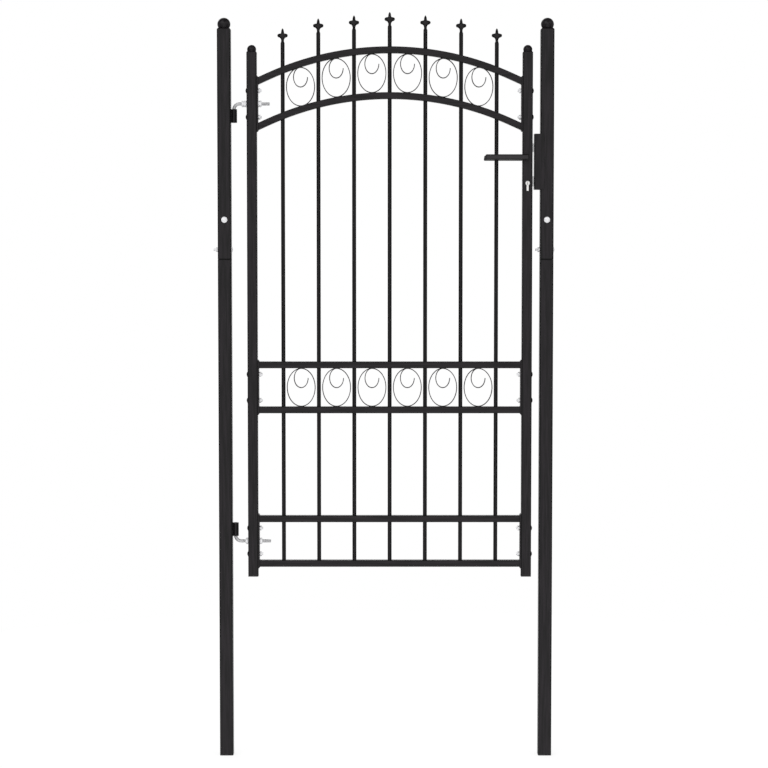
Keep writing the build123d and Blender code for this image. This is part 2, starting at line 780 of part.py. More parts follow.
for name, way in (("lever_front", -1), ("lever_back", 1)):
    with BuildPart() as lever:
        grip_back = way * (lever_face - lever_thickness)
        with BuildSketch(Plane(origin=(0, grip_back, 0), x_dir=(1, 0, 0), z_dir=(0, -1, 0))) as grip:
            with BuildLine():
                half = lever_height / 2
                Polyline(
                    (spindle_x + lever_past_spindle, spindle_z - half),
                    (spindle_x + lever_past_spindle, spindle_z + half),
                    (spindle_x - lever_reach, spindle_z + half),
                    (spindle_x - lever_reach - lever_slant, spindle_z - half),
                    close=True,
                )
            make_face()
        extrude(amount=-way * lever_thickness)
        front_edges = lever.edges().group_by(Axis.Y)[0 if way < 0 else -1]
        fillet(front_edges, lever_crown)
        back_edges = lever.edges().group_by(Axis.Y)[-1 if way < 0 else 0]
        fillet(back_edges, lever_edge)
        with Locations(Location((spindle_x, way * stile_side / 2 + way * lever_gap, spindle_z), (90, 0, 0))):
            hub_length = lever_standoff - lever_gap + lever_thickness / 2
            hub_align = Align.MIN if way < 0 else Align.MAX
            Cylinder(lever_hub / 2, hub_length, align=(Align.CENTER, Align.CENTER, hub_align))
        with Locations((spindle_x, 0, spindle_z)):
            pocket = spindle_side + 2 * spindle_fit
            Box(pocket, 2 * (spindle_reach + spindle_fit), pocket, mode=Mode.SUBTRACT)
    save(lever.part, name)

# Strike
with BuildPart() as strike_box:
    strike_half = post_side / 2 + strike_sheet
    strike_depth = latch_face_x + strike_lap - strike_face_x
    with BuildSketch(Plane.XY.offset(strike_low)):
        with Locations((strike_face_x, 0)):
            Rectangle(strike_depth, 2 * strike_half, align=(Align.MIN, Align.CENTER))
    extrude(amount=strike_high - strike_low)
    fillet(strike_box.edges().filter_by(Axis.Z).group_by(Axis.X)[0], strike_bend)
    with BuildSketch(Plane.XY.offset(strike_low)):
        with Locations((strike_face_x + strike_sheet, 0)):
            Rectangle(strike_depth, post_side, align=(Align.MIN, Align.CENTER))
    extrude(amount=strike_high - strike_low, mode=Mode.SUBTRACT)
    for z, height in ((latch_z, latch_height), (dead_z, dead_height)):
        with Locations((strike_face_x, 0, z)):
            Box(
                4 * strike_sheet,
                latch_thickness + 2 * strike_slot_play,
                height + 2 * strike_slot_play,
                mode=Mode.SUBTRACT,
            )
save(strike_box.part, "strike_box")

print(f"pin axis at X {hinge_axis_x:.2f}, spindle at X {spindle_x:.2f}, Z {spindle_z:.2f}")
print(f"plate centres at Z {', '.join(f'{z:.1f}' for z in plate_zs)}")
print(f"arch ends lie {arch_end_drop:.1f} below the crown, {arch_end_thickness:.1f} tall at the plate")
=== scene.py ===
# %% [markdown]
# # An arched garden gate between two posts
# The gate is welded from black powder-coated steel tube and round bar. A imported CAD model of
# it already holds every tube, bar and bolt at its true size. This lesson dresses that model in
# Blender: it sets up the camera and the light, paints each finish with shader nodes, and adds
# the small shapes that the CAD model leaves plain, such as screw threads and weld beads.

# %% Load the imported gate
from math import ceil, cos, pi, radians, sin, sqrt

import bpy
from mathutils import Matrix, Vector, noise


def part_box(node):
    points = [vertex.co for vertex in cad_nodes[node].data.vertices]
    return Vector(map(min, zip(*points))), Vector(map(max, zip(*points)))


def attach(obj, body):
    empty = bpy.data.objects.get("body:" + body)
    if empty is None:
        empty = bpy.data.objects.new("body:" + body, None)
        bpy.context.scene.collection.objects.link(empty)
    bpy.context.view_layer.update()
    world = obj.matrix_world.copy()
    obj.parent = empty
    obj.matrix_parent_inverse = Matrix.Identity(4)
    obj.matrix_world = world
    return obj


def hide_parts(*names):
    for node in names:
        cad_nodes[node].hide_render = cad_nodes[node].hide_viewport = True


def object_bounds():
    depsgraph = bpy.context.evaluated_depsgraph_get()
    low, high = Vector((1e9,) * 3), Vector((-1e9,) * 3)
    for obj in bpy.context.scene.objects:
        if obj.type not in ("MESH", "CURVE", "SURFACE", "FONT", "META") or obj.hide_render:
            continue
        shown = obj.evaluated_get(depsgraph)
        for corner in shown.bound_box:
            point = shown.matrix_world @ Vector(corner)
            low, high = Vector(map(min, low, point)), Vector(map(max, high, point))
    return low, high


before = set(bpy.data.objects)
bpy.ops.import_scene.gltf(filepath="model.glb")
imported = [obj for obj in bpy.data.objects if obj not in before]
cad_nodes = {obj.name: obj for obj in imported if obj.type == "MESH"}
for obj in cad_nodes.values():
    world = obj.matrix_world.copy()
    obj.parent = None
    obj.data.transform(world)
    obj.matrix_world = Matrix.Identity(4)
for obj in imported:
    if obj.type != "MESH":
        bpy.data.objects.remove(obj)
cad_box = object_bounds()

# %% [markdown]
# ## Units
# Blender measures in metres, and a gate maker thinks in millimetres. One named factor turns
# millimetres into metres, so the numbers below can be the ones on a drawing.

# %% Millimetres
MM = 0.001


def span(piece_name, axis):
    """Lowest and highest place of a CAD piece along one axis, in metres."""
    low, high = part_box(piece_name)
    return low[axis], high[axis]


X, Y, Z = 0, 1, 2
gate_low, gate_high = cad_box
print("overall height in millimetres:", round((gate_high.z - gate_low.z) / MM, 1))

# %% [markdown]
# ## The camera
# The picture was taken with a long lens from about six and a half metres, a little above the
# middle of the gate. The lens and the place were worked out from the pixels of the posts, the
# bars and the rails, so that each lands where it does in the photograph. A camera could also
# be aimed by eye, but then the posts would not converge by the right amount.

# %% Camera
camera_place = (0.4751, -6.5, 1.5237)
camera_pitch_down = 0.0616
camera_lens = 101.85
sensor_width = 36.0
upright_turn = pi / 2

gate_camera = bpy.data.objects.new("gate_camera", bpy.data.cameras.new("gate_camera"))
bpy.context.scene.collection.objects.link(gate_camera)
gate_camera.location = camera_place
gate_camera.rotation_euler = (upright_turn - camera_pitch_down, 0, 0)
gate_camera.data.lens = camera_lens
gate_camera.data.sensor_width = sensor_width
bpy.context.scene.camera = gate_camera
bpy.context.scene.view_settings.view_transform = "Standard"
print("camera looks from", camera_place)

# %% [markdown]
# ## Shader helpers
# Every finish below is a small graph of shader nodes. Writing each link by hand is long, so
# short helpers do it: they start a material, add a node, mix colours, do sums on sockets and
# raise bumps. One adds noise whose grain can be stretched along a tube, as rolling and
# spraying leave it.

# %% Shader helpers
def start_finish(name):
    """A new material, its node tree and its main shader."""
    finish = bpy.data.materials.new(name)
    finish.use_nodes = True
    tree = finish.node_tree
    return finish, tree, tree.nodes["Principled BSDF"]


def add_node(tree, kind, **settings):
    """Adds a shader node. Settings are its properties."""
    node = tree.nodes.new(kind)
    for setting, value in settings.items():
        setattr(node, setting, value)
    return node


def grain(tree, size, stretch=(1, 1, 1), detail=2.0):
    """Noise whose blotches are about this size in metres, longer where stretch is under 1."""
    place = add_node(tree, "ShaderNodeTexCoord")
    scaled = add_node(tree, "ShaderNodeMapping")
    scaled.inputs["Scale"].default_value = stretch
    blotches = add_node(tree, "ShaderNodeTexNoise")
    blotches.inputs["Scale"].default_value = 1 / size
    blotches.inputs["Detail"].default_value = detail
    tree.links.new(place.outputs["Object"], scaled.inputs["Vector"])
    tree.links.new(scaled.outputs["Vector"], blotches.inputs["Vector"])
    return blotches.outputs["Fac"]


def ramp(tree, value, low, high, from_low=0.3, from_high=0.7):
    """Turns a noise value into a number between low and high."""
    stretch = add_node(tree, "ShaderNodeMapRange")
    tree.links.new(value, stretch.inputs["Value"])
    stretch.inputs["From Min"].default_value = from_low
    stretch.inputs["From Max"].default_value = from_high
    stretch.inputs["To Min"].default_value = low
    stretch.inputs["To Max"].default_value = high
    return stretch.outputs["Result"]


def blend_colours(tree, share, first, second):
    """Mixes two colours, or a colour and a socket, by a share socket."""
    mix = add_node(tree, "ShaderNodeMix", data_type="RGBA")
    tree.links.new(share, mix.inputs["Factor"])
    for socket, colour in ((mix.inputs[6], first), (mix.inputs[7], second)):
        if isinstance(colour, tuple):
            socket.default_value = (*colour, 1)
        else:
            tree.links.new(colour, socket)
    return mix.outputs[2]


def add_bump(tree, height, distance, strength, under=None):
    """A bump node, laid over another one when that is given."""
    bump = add_node(tree, "ShaderNodeBump")
    bump.inputs["Strength"].default_value = strength
    bump.inputs["Distance"].default_value = distance
    tree.links.new(height, bump.inputs["Height"])
    if under is not None:
        tree.links.new(under, bump.inputs["Normal"])
    return bump.outputs["Normal"]


def combine(tree, operation, first, second=None):
    """A sum, product or other simple step on numbers or sockets."""
    step = add_node(tree, "ShaderNodeMath", operation=operation)
    for socket, value in zip(step.inputs, (first, second)):
        if isinstance(value, (int, float)):
            socket.default_value = value
        elif value is not None:
            tree.links.new(value, socket)
    return step.outputs[0]


print("shader helpers ready")

# %% [markdown]
# ## Floor and backdrop
# The photograph has a plain white background. A floor painted white would clip where the lamps
# fall on it, and lamps strong enough to make it white would burn out the zinc. So the floor is
# mostly a surface that shines plain white at the camera and at mirror-like rays, with a share
# of ordinary matt paint under it that still takes the soft shadow of the posts.

# %% Floor
FLOOR_RADIUS = 2.6
FLOOR_SIDES = 96
FLOOR_PAINT = (0.9, 0.9, 0.9, 1)
FLOOR_ROUGHNESS = 0.9
SHADOW_SHARE = 0.22
FLOOR_GLOW = 1.07


def white_floor():
    """A matt white floor that shows as plain white except where the gate shades it."""
    finish, tree, matt = start_finish("studio_floor_white")
    matt.inputs["Base Color"].default_value = FLOOR_PAINT
    matt.inputs["Roughness"].default_value = FLOOR_ROUGHNESS
    matt.inputs["Specular IOR Level"].default_value = 0.0
    rays = add_node(tree, "ShaderNodeLightPath")
    seen = combine(tree, "MAXIMUM", rays.outputs["Is Camera Ray"], rays.outputs["Is Glossy Ray"])
    seen_through = combine(tree, "MAXIMUM", seen, rays.outputs["Is Transmission Ray"])
    share = combine(tree, "MULTIPLY", seen_through, 1 - SHADOW_SHARE)
    glow = add_node(tree, "ShaderNodeEmission")
    glow.inputs["Color"].default_value = (1, 1, 1, 1)
    glow.inputs["Strength"].default_value = FLOOR_GLOW
    mix = add_node(tree, "ShaderNodeMixShader")
    tree.links.new(share, mix.inputs["Fac"])
    tree.links.new(matt.outputs[0], mix.inputs[1])
    tree.links.new(glow.outputs[0], mix.inputs[2])
    tree.links.new(mix.outputs[0], tree.nodes["Material Output"].inputs["Surface"])
    return finish


gate_middle_x = (gate_low.x + gate_high.x) / 2
floor_mesh = bpy.data.meshes.new("studio_floor")
floor_rim = [
    (
        gate_middle_x + FLOOR_RADIUS * cos(2 * pi * side / FLOOR_SIDES),
        FLOOR_RADIUS * sin(2 * pi * side / FLOOR_SIDES),
        0,
    )
    for side in range(FLOOR_SIDES)
]
floor_mesh.from_pydata(floor_rim, [], [tuple(range(FLOOR_SIDES))])
studio_floor = bpy.data.objects.new("studio_floor", floor_mesh)
bpy.context.scene.collection.objects.link(studio_floor)
floor_mesh.materials.append(white_floor())
print("floor is", 2 * FLOOR_RADIUS, "metres across")

# %% [markdown]
# ## The world
# Black paint shows hardly any colour of its own. What the eye sees on it is a faint mirror
# image of the room. The world is plain white for the camera. For mirror-like rays it is a room
# of soft boxes: a bright one in front and behind, a weaker one at each side and narrow ones in
# the corners, with dark gaps between them and dark far above and below. A flat face mirrors one
# box and looks even, while a rounded edge sweeps over the gaps and draws a dark line.

# %% World
ROOM_LEVEL = 0.75
GAP_LEVEL = 0.05
FRONT_LEVEL = 1.0
FRONT_START, FRONT_FULL = 0.86, 0.97
SIDE_LEVEL = 0.5
SIDE_START, SIDE_FULL = 0.88, 0.98
CORNER_LEVEL = 0.32
CORNER_START, CORNER_FULL = 0.86, 0.98
CEILING_START, CEILING_FULL = 0.45, 0.7


def soft_box(tree, amount, start, full, level):
    """A soft patch of light that grows as an amount nears its full value."""
    patch = add_node(tree, "ShaderNodeMapRange", interpolation_type="SMOOTHSTEP")
    tree.links.new(amount, patch.inputs["Value"])
    patch.inputs["From Min"].default_value = start
    patch.inputs["From Max"].default_value = full
    patch.inputs["To Min"].default_value = 0.0
    patch.inputs["To Max"].default_value = level
    return patch.outputs["Result"]


def level_direction(tree):
    """How far a ray points along X and along Y, seen in plan, and how far up or down."""
    direction = add_node(tree, "ShaderNodeTexCoord")
    split = add_node(tree, "ShaderNodeSeparateXYZ")
    tree.links.new(direction.outputs["Generated"], split.inputs[0])
    flat = add_node(tree, "ShaderNodeCombineXYZ")
    tree.links.new(split.outputs["X"], flat.inputs["X"])
    tree.links.new(split.outputs["Y"], flat.inputs["Y"])
    whole = add_node(tree, "ShaderNodeVectorMath", operation="NORMALIZE")
    tree.links.new(flat.outputs[0], whole.inputs[0])
    plan = add_node(tree, "ShaderNodeSeparateXYZ")
    tree.links.new(whole.outputs[0], plan.inputs[0])
    along_x = combine(tree, "ABSOLUTE", plan.outputs["X"])
    along_y = combine(tree, "ABSOLUTE", plan.outputs["Y"])
    upward = combine(tree, "ABSOLUTE", split.outputs["Z"])
    return along_x, along_y, upward


def plain_room():
    """White for the camera, soft boxes for mirror-like rays, an even level for the rest."""
    world = bpy.data.worlds.new("plain_room")
    bpy.context.scene.world = world
    world.use_nodes = True
    tree = world.node_tree
    room = tree.nodes["Background"]
    room.inputs["Color"].default_value = (1, 1, 1, 1)
    rays = add_node(tree, "ShaderNodeLightPath")
    along_x, along_y, upward = level_direction(tree)
    diagonal = combine(tree, "MULTIPLY", combine(tree, "MULTIPLY", along_x, along_y), 2)
    boxes = combine(
        tree,
        "ADD",
        soft_box(tree, along_y, FRONT_START, FRONT_FULL, FRONT_LEVEL - GAP_LEVEL),
        soft_box(tree, along_x, SIDE_START, SIDE_FULL, SIDE_LEVEL - GAP_LEVEL),
    )
    corners = soft_box(tree, diagonal, CORNER_START, CORNER_FULL, CORNER_LEVEL)
    boxes = combine(tree, "ADD", boxes, corners)
    ceiling = soft_box(tree, upward, CEILING_START, CEILING_FULL, 1)
    below_ceiling = combine(tree, "SUBTRACT", 1, ceiling)
    mirrored = combine(tree, "ADD", combine(tree, "MULTIPLY", boxes, below_ceiling), GAP_LEVEL)
    seen_straight = combine(
        tree, "MAXIMUM", rays.outputs["Is Camera Ray"], rays.outputs["Is Transmission Ray"]
    )
    shiny = add_node(tree, "ShaderNodeMix", data_type="FLOAT")
    tree.links.new(rays.outputs["Is Glossy Ray"], shiny.inputs[0])
    shiny.inputs[2].default_value = ROOM_LEVEL
    tree.links.new(mirrored, shiny.inputs[3])
    level = add_node(tree, "ShaderNodeMix", data_type="FLOAT")
    tree.links.new(seen_straight, level.inputs[0])
    tree.links.new(shiny.outputs[0], level.inputs[2])
    level.inputs[3].default_value = 1.0
    tree.links.new(level.outputs[0], room.inputs["Strength"])


plain_room()
print("room level for matt surfaces:", ROOM_LEVEL)

# %% [markdown]
# ## Lamps
# Three large, soft suns keep the light plain. The key comes from the upper left in front, a
# weaker one from the right, and one from behind, so that the gate also reads from the garden
# side. Suns are used because their light is as strong on the ball caps as on the feet.

# %% Lamps
SUN_SOFTNESS = radians(40)


def add_sun(name, strength, tilt, turn):
    """A soft sun, tilted from straight down and then turned about the upright, in degrees."""
    lamp = bpy.data.objects.new(name, bpy.data.lights.new(name, "SUN"))
    lamp.data.energy = strength
    lamp.data.angle = SUN_SOFTNESS
    lamp.rotation_euler = (radians(tilt), 0, radians(turn))
    bpy.context.scene.collection.objects.link(lamp)


add_sun("key_sun", strength=0.6, tilt=55, turn=-35)
add_sun("fill_sun", strength=0.3, tilt=60, turn=50)
add_sun("back_sun", strength=0.5, tilt=55, turn=200)

# %% [markdown]
# ## Black powder coat
# Posts, stiles, rails and bars are sprayed with black powder and baked. The skin is satin, has
# the fine dimples known as orange peel, and keeps faint streaks along each tube from the steel
# under it. Rounded edges are painted darker and matt: painted shade where they turn from the light.
# Dust settles on what faces up. One function makes the coat, and the direction of the streaks
# is its argument, because rails lie along X and posts stand along Z. A photograph of steel
# could be wrapped on instead, but it would repeat and smear round the corners.

# %% Powder coat
COAT_DARK = (0.0030, 0.0021, 0.0029)
COAT_LIGHT = (0.0150, 0.0116, 0.0146)
COAT_DUST = (0.020, 0.018, 0.019)
# Tone of the painted shade on rounded edges.
COAT_EDGE_SHADE = (0.0012, 0.0010, 0.0012)
COAT_SHINE_LOW, COAT_SHINE_HIGH = 0.36, 0.44
COAT_EDGE_SHINE = 0.6
EDGE_START, EDGE_FULL = 0.08, 0.45
BEVEL_START, BEVEL_FULL = 0.3, 0.75
COAT_SPECULAR = 0.3
STREAK_SIZE = 4.5 * MM
STREAK_STRETCH = 0.05
STREAK_LOW, STREAK_HIGH = 0.36, 0.64
PEEL_SIZE = 1.4 * MM
PEEL_DEPTH = 0.008 * MM
SPECK_SIZE = 0.4 * MM
SPECK_DEPTH = 0.002 * MM
COAT_BUMP = 0.3
COAT_DUSTIEST = 0.5
DUST_PATCH_SIZE = 18 * MM
THINNEST_DUST = 0.35
UPWARD_START, UPWARD_FULL = 0.4, 0.95
JOINT_HALF_WIDTH, JOINT_FADE = 1.2 * MM, 4.0 * MM


def dust_share(tree, most):
    """More on faces that look up, and in patches."""
    surface = add_node(tree, "ShaderNodeNewGeometry")
    split = add_node(tree, "ShaderNodeSeparateXYZ")
    tree.links.new(surface.outputs["Normal"], split.inputs[0])
    facing_up = ramp(tree, split.outputs["Z"], 0.0, most, UPWARD_START, UPWARD_FULL)
    patches = ramp(tree, grain(tree, DUST_PATCH_SIZE, detail=4.0), THINNEST_DUST, 1.0)
    return combine(tree, "MULTIPLY", facing_up, patches)


def edge_shade_share(tree, start, full):
    """One on surfaces turned half way between facing along Y and facing across it, where edge shade
    is painted.
    """
    place = add_node(tree, "ShaderNodeTexCoord")
    split = add_node(tree, "ShaderNodeSeparateXYZ")
    tree.links.new(place.outputs["Normal"], split.inputs[0])
    facing = combine(tree, "ABSOLUTE", split.outputs["Y"])
    rest = combine(tree, "SUBTRACT", 1, combine(tree, "MULTIPLY", facing, facing))
    turned = combine(tree, "SQRT", combine(tree, "MAXIMUM", rest, 0))
    both = combine(tree, "MULTIPLY", combine(tree, "MULTIPLY", facing, turned), 2)
    return ramp(tree, both, 0, 1, start, full)


def joint_share(tree, height):
    """One at a height above the ground and nothing a few millimetres off it."""
    place = add_node(tree, "ShaderNodeTexCoord")
    split = add_node(tree, "ShaderNodeSeparateXYZ")
    tree.links.new(place.outputs["Object"], split.inputs[0])
    away = combine(tree, "SUBTRACT", split.outputs["Z"], height)
    distance = combine(tree, "ABSOLUTE", away)
    return ramp(tree, distance, 1.0, 0.0, JOINT_HALF_WIDTH, JOINT_FADE)


def powder_coat(name, streak_axis, joint_height=None, painted_edge_shade=True):
    """Satin black coat whose streaks run along one axis, or nowhere when it is None."""
    finish, tree, coat = start_finish(name)
    along = tuple(STREAK_STRETCH if axis == streak_axis else 1 for axis in (X, Y, Z))
    streaks = ramp(tree, grain(tree, STREAK_SIZE, along), 0, 1, STREAK_LOW, STREAK_HIGH)
    tone = blend_colours(tree, streaks, COAT_DARK, COAT_LIGHT)
    shine = ramp(tree, streaks, COAT_SHINE_LOW, COAT_SHINE_HIGH, 0, 1)
    # Rounded edges take a darker tone: painted shade where they turn from the light.
    if painted_edge_shade:
        edges = edge_shade_share(tree, EDGE_START, EDGE_FULL)
        tone = blend_colours(tree, edges, tone, COAT_EDGE_SHADE)
        shine = combine(tree, "MAXIMUM", shine, combine(tree, "MULTIPLY", edges, COAT_EDGE_SHINE))
    # Painted shade: a dark, matt band along the seam where the post's two lengths meet.
    if joint_height is not None:
        seam_shade = joint_share(tree, joint_height)
        tone = blend_colours(tree, seam_shade, tone, JOINT_SHADE)
        shine = combine(tree, "MAXIMUM", shine, combine(tree, "MULTIPLY", seam_shade, JOINT_MATT))
    dusty = blend_colours(tree, dust_share(tree, COAT_DUSTIEST), tone, COAT_DUST)
    tree.links.new(dusty, coat.inputs["Base Color"])
    tree.links.new(shine, coat.inputs["Roughness"])
    coat.inputs["Specular IOR Level"].default_value = COAT_SPECULAR
    peel = add_bump(tree, grain(tree, PEEL_SIZE), PEEL_DEPTH, COAT_BUMP)
    specks = add_bump(tree, grain(tree, SPECK_SIZE), SPECK_DEPTH, COAT_BUMP, under=peel)
    tree.links.new(specks, coat.inputs["Normal"])
    return finish


# %% [markdown]
# Each post is two lengths that meet over an inner sleeve. A thin band at the joint is painted
# darker and matt: painted shade of the seam between the lengths. The post's coat takes the height
# of the joint from the CAD piece, so that the dark line stays on the joint. Bars and spear points
# have no flat face to carry streaks, and caps, plates and scrolls get no painted edge shade.

# %% Coats for posts, stiles, rails, bars and the rest
# Tone of the painted shade in the post's seam.
JOINT_SHADE = (0.0015, 0.0013, 0.0015)
JOINT_MATT = 0.8

post_joint_z = span("hinge_post_lower", Z)[1]
post_coat = powder_coat("powder_coat_post", Z, post_joint_z)
upright_coat = powder_coat("powder_coat_upright", Z)
level_coat = powder_coat("powder_coat_level", X)
round_coat = powder_coat("powder_coat_round", None)
even_coat = powder_coat("powder_coat_even", None, painted_edge_shade=False)
print("post joint at", round(post_joint_z / MM), "mm, coats:", post_coat.name, level_coat.name)

# %% [markdown]
# ## Moulded black caps and the lever
# The lever is a smooth black casting, a shade lighter than the tubes. The side of it that faces
# the gate takes a darker, rougher copy of the finish: painted shade. The end plugs in the feet are
# plain black plastic with a matt skin. All are clouded by a slow noise, because a moulding never
# cools evenly, and their rounded edges carry painted shade. The tubes' coat could be used here
# too, but its streaks come from drawn steel.

# %% Lever and plug finishes
CAST_CLOUD_SIZE = 12 * MM
CAST_DUSTIEST = 0.4
CAST_SPECULAR = 0.4
CAST_PEEL_SIZE = 0.8 * MM
CAST_PEEL_DEPTH = 0.006 * MM


def smooth_black(name, tone, cloud_tone, roughness, peel_strength):
    """A black skin without streaks, for cast and moulded pieces."""
    finish, tree, skin = start_finish(name)
    clouds = grain(tree, CAST_CLOUD_SIZE, detail=3.0)
    clouded = blend_colours(tree, ramp(tree, clouds, 0, 1), tone, cloud_tone)
    # Rounded edges take the same painted shade as the tubes.
    edges = edge_shade_share(tree, EDGE_START, EDGE_FULL)
    eased = blend_colours(tree, edges, clouded, COAT_EDGE_SHADE)
    dusty = blend_colours(tree, dust_share(tree, CAST_DUSTIEST), eased, COAT_DUST)
    tree.links.new(dusty, skin.inputs["Base Color"])
    tree.links.new(ramp(tree, clouds, *roughness), skin.inputs["Roughness"])
    skin.inputs["Specular IOR Level"].default_value = CAST_SPECULAR
    peel = add_bump(tree, grain(tree, CAST_PEEL_SIZE), CAST_PEEL_DEPTH, peel_strength)
    tree.links.new(peel, skin.inputs["Normal"])
    return finish


lever_black = smooth_black(
    "lever_satin_black",
    tone=(0.015, 0.0125, 0.0145),
    cloud_tone=(0.025, 0.0215, 0.0245),
    roughness=(0.26, 0.34),
    peel_strength=0.15,
)
# A darker, rougher copy of the lever's finish: painted shade for the side that faces the gate.
lever_shaded = smooth_black(
    "lever_rough_painted_shade",
    tone=(0.003, 0.0025, 0.003),
    cloud_tone=(0.006, 0.005, 0.006),
    roughness=(0.6, 0.75),
    peel_strength=0.8,
)
plug_black = smooth_black(
    "plug_matt_black",
    tone=(0.009, 0.0075, 0.0088),
    cloud_tone=(0.015, 0.013, 0.0148),
    roughness=(0.5, 0.62),
    peel_strength=0.5,
)
print("lever and plug finishes ready")

# %% [markdown]
# ## Bright metal
# The hinge rods, nuts and the posts' bolts are zinc plated: a pale, satin metal with fine
# clouds in its shine. Zinc that was dipped and passivated is part mirror and part chalk, so its
# shader is only partly metallic. The rods take a greyer copy of the zinc: painted shade of their
# thread grooves. The lock cylinder is nickel, which is warmer and smoother. The photograph shows
# its bevel as a dark rim, so the bevel gets a dark tone: painted shade of the gap round the
# cylinder. The bolts of the lock are brushed steel. One function makes them all.

# %% Bright metal finishes
BRUSH_SIZE = 1.2 * MM
BRUSH_STRETCH = 0.04
BRUSH_DEPTH = 0.006 * MM
BRUSH_BUMP = 0.25
METAL_CLOUD_SIZE = 5 * MM


def bright_metal(name, tint, darker, roughness, mirror_share, brush_axis=None, bevel_shade_tone=None):
    """Metal with clouds in its shine, brushed along an axis, with painted shade on its bevels if
    asked.
    """
    finish, tree, metal = start_finish(name)
    along = tuple(BRUSH_STRETCH if axis == brush_axis else 1 for axis in (X, Y, Z))
    brushed = grain(tree, BRUSH_SIZE, along, detail=3.0)
    clouds = grain(tree, METAL_CLOUD_SIZE, detail=3.0)
    tone = blend_colours(tree, ramp(tree, clouds, 0, 1), darker, tint)
    # Bevels take a dark tone: painted shade of the gap round the cylinder.
    if bevel_shade_tone is not None:
        bevels = edge_shade_share(tree, BEVEL_START, BEVEL_FULL)
        tone = blend_colours(tree, bevels, tone, bevel_shade_tone)
    tree.links.new(tone, metal.inputs["Base Color"])
    tree.links.new(ramp(tree, brushed, *roughness), metal.inputs["Roughness"])
    metal.inputs["Metallic"].default_value = mirror_share
    scratches = add_bump(tree, brushed, BRUSH_DEPTH, BRUSH_BUMP)
    tree.links.new(scratches, metal.inputs["Normal"])
    return finish


bright_zinc = bright_metal(
    "zinc_plate_bright",
    tint=(0.97, 0.97, 0.98),
    darker=(0.91, 0.91, 0.93),
    roughness=(0.34, 0.46),
    mirror_share=0.15,
)
# A greyer copy of the bright zinc: painted shade of the thread grooves on the hinge rods.
grey_zinc = bright_metal(
    "zinc_plate_grey",
    tint=(0.66, 0.66, 0.67),
    darker=(0.54, 0.54, 0.55),
    roughness=(0.36, 0.48),
    mirror_share=0.5,
)
nickel = bright_metal(
    "nickel_satin",
    tint=(0.95, 0.94, 0.92),
    darker=(0.88, 0.87, 0.85),
    roughness=(0.25, 0.35),
    mirror_share=0.7,
    bevel_shade_tone=(0.05, 0.05, 0.05),
)
steel = bright_metal(
    "brushed_lock_steel",
    tint=(0.78, 0.78, 0.78),
    darker=(0.66, 0.66, 0.67),
    roughness=(0.25, 0.4),
    mirror_share=0.8,
    brush_axis=Z,
)
print("bright metals:", bright_zinc.name, grey_zinc.name, nickel.name, steel.name)

# %% [markdown]
# ## Which finish goes where
# A CAD piece keeps its shape and takes its new finish by swapping the material in its slots.
# A table from finish to piece names is easy to read and to change. The last line checks that
# no piece was forgotten.

# %% Paint the CAD pieces
bars = [f"bar_{number}" for number in range(1, 8)]
straight_rails = [
    "bottom_lower_rail",
    "bottom_upper_rail",
    "middle_lower_rail",
    "middle_upper_rail",
]
arch_rails = ["lower_arch_rail", "upper_arch_rail"]
finish_of = {
    post_coat: ["hinge_post_lower", "hinge_post_upper", "latch_post_lower", "latch_post_upper"],
    upright_coat: [
        "hinge_stile",
        "latch_stile",
        "strike_box",
        "upper_hinge_barrel",
        "lower_hinge_barrel",
    ],
    level_coat: [*straight_rails, *arch_rails],
    round_coat: [*bars, "finials"],
    even_coat: [
        "hinge_post_cap",
        "latch_post_cap",
        "stile_caps",
        "rail_end_plates",
        "middle_scrolls",
        "upper_scrolls",
    ],
    plug_black: ["post_foot_plugs", "stile_foot_plugs", "lock_case"],
    lever_black: ["lever_front", "lever_back"],
    bright_zinc: ["post_bolts", "stile_bolts", "hinge_nuts", "post_sleeves"],
    grey_zinc: ["upper_hinge_bolt", "lower_hinge_bolt"],
    nickel: ["lock_cylinder"],
    steel: ["latch_bolt", "dead_bolt", "lock_forend", "lever_spindle"],
}
for finish, piece_names in finish_of.items():
    for piece_name in piece_names:
        for place in cad_nodes[piece_name].material_slots:
            place.material = finish
painted = {name for names in finish_of.values() for name in names}
print("CAD pieces without a finish:", sorted(set(cad_nodes) - painted))

# %% [markdown]
# ## Making a mesh from rings
# Threads, nuts, spear points and weld beads are all skins stretched over a row of rings. One
# helper takes the rings, joins each to the next with quads and closes the two ends, or joins
# the last ring to the first. A curve with a bevel could make a plain rod, but it can't cut a
# thread into it. A parts bin gathers many small skins into one piece, because a bolt with its
# nut needs no object of its own.

# %% Skin over rings
SMOOTH_ANGLE = radians(40)


def skin_faces(ring_count, sides, first, closed_loop):
    """Quads between neighbouring rings, and a cap on each end unless the rings form a loop."""
    faces = []
    for ring in range(ring_count if closed_loop else ring_count - 1):
        step_on = ((ring + 1) % ring_count - ring) * sides
        for side in range(sides):
            here = first + ring * sides + side
            beside = first + ring * sides + (side + 1) % sides
            faces.append((here, beside, beside + step_on, here + step_on))
    if not closed_loop:
        faces.append(tuple(first + side for side in reversed(range(sides))))
        last_ring = first + (ring_count - 1) * sides
        faces.append(tuple(last_ring + side for side in range(sides)))
    return faces


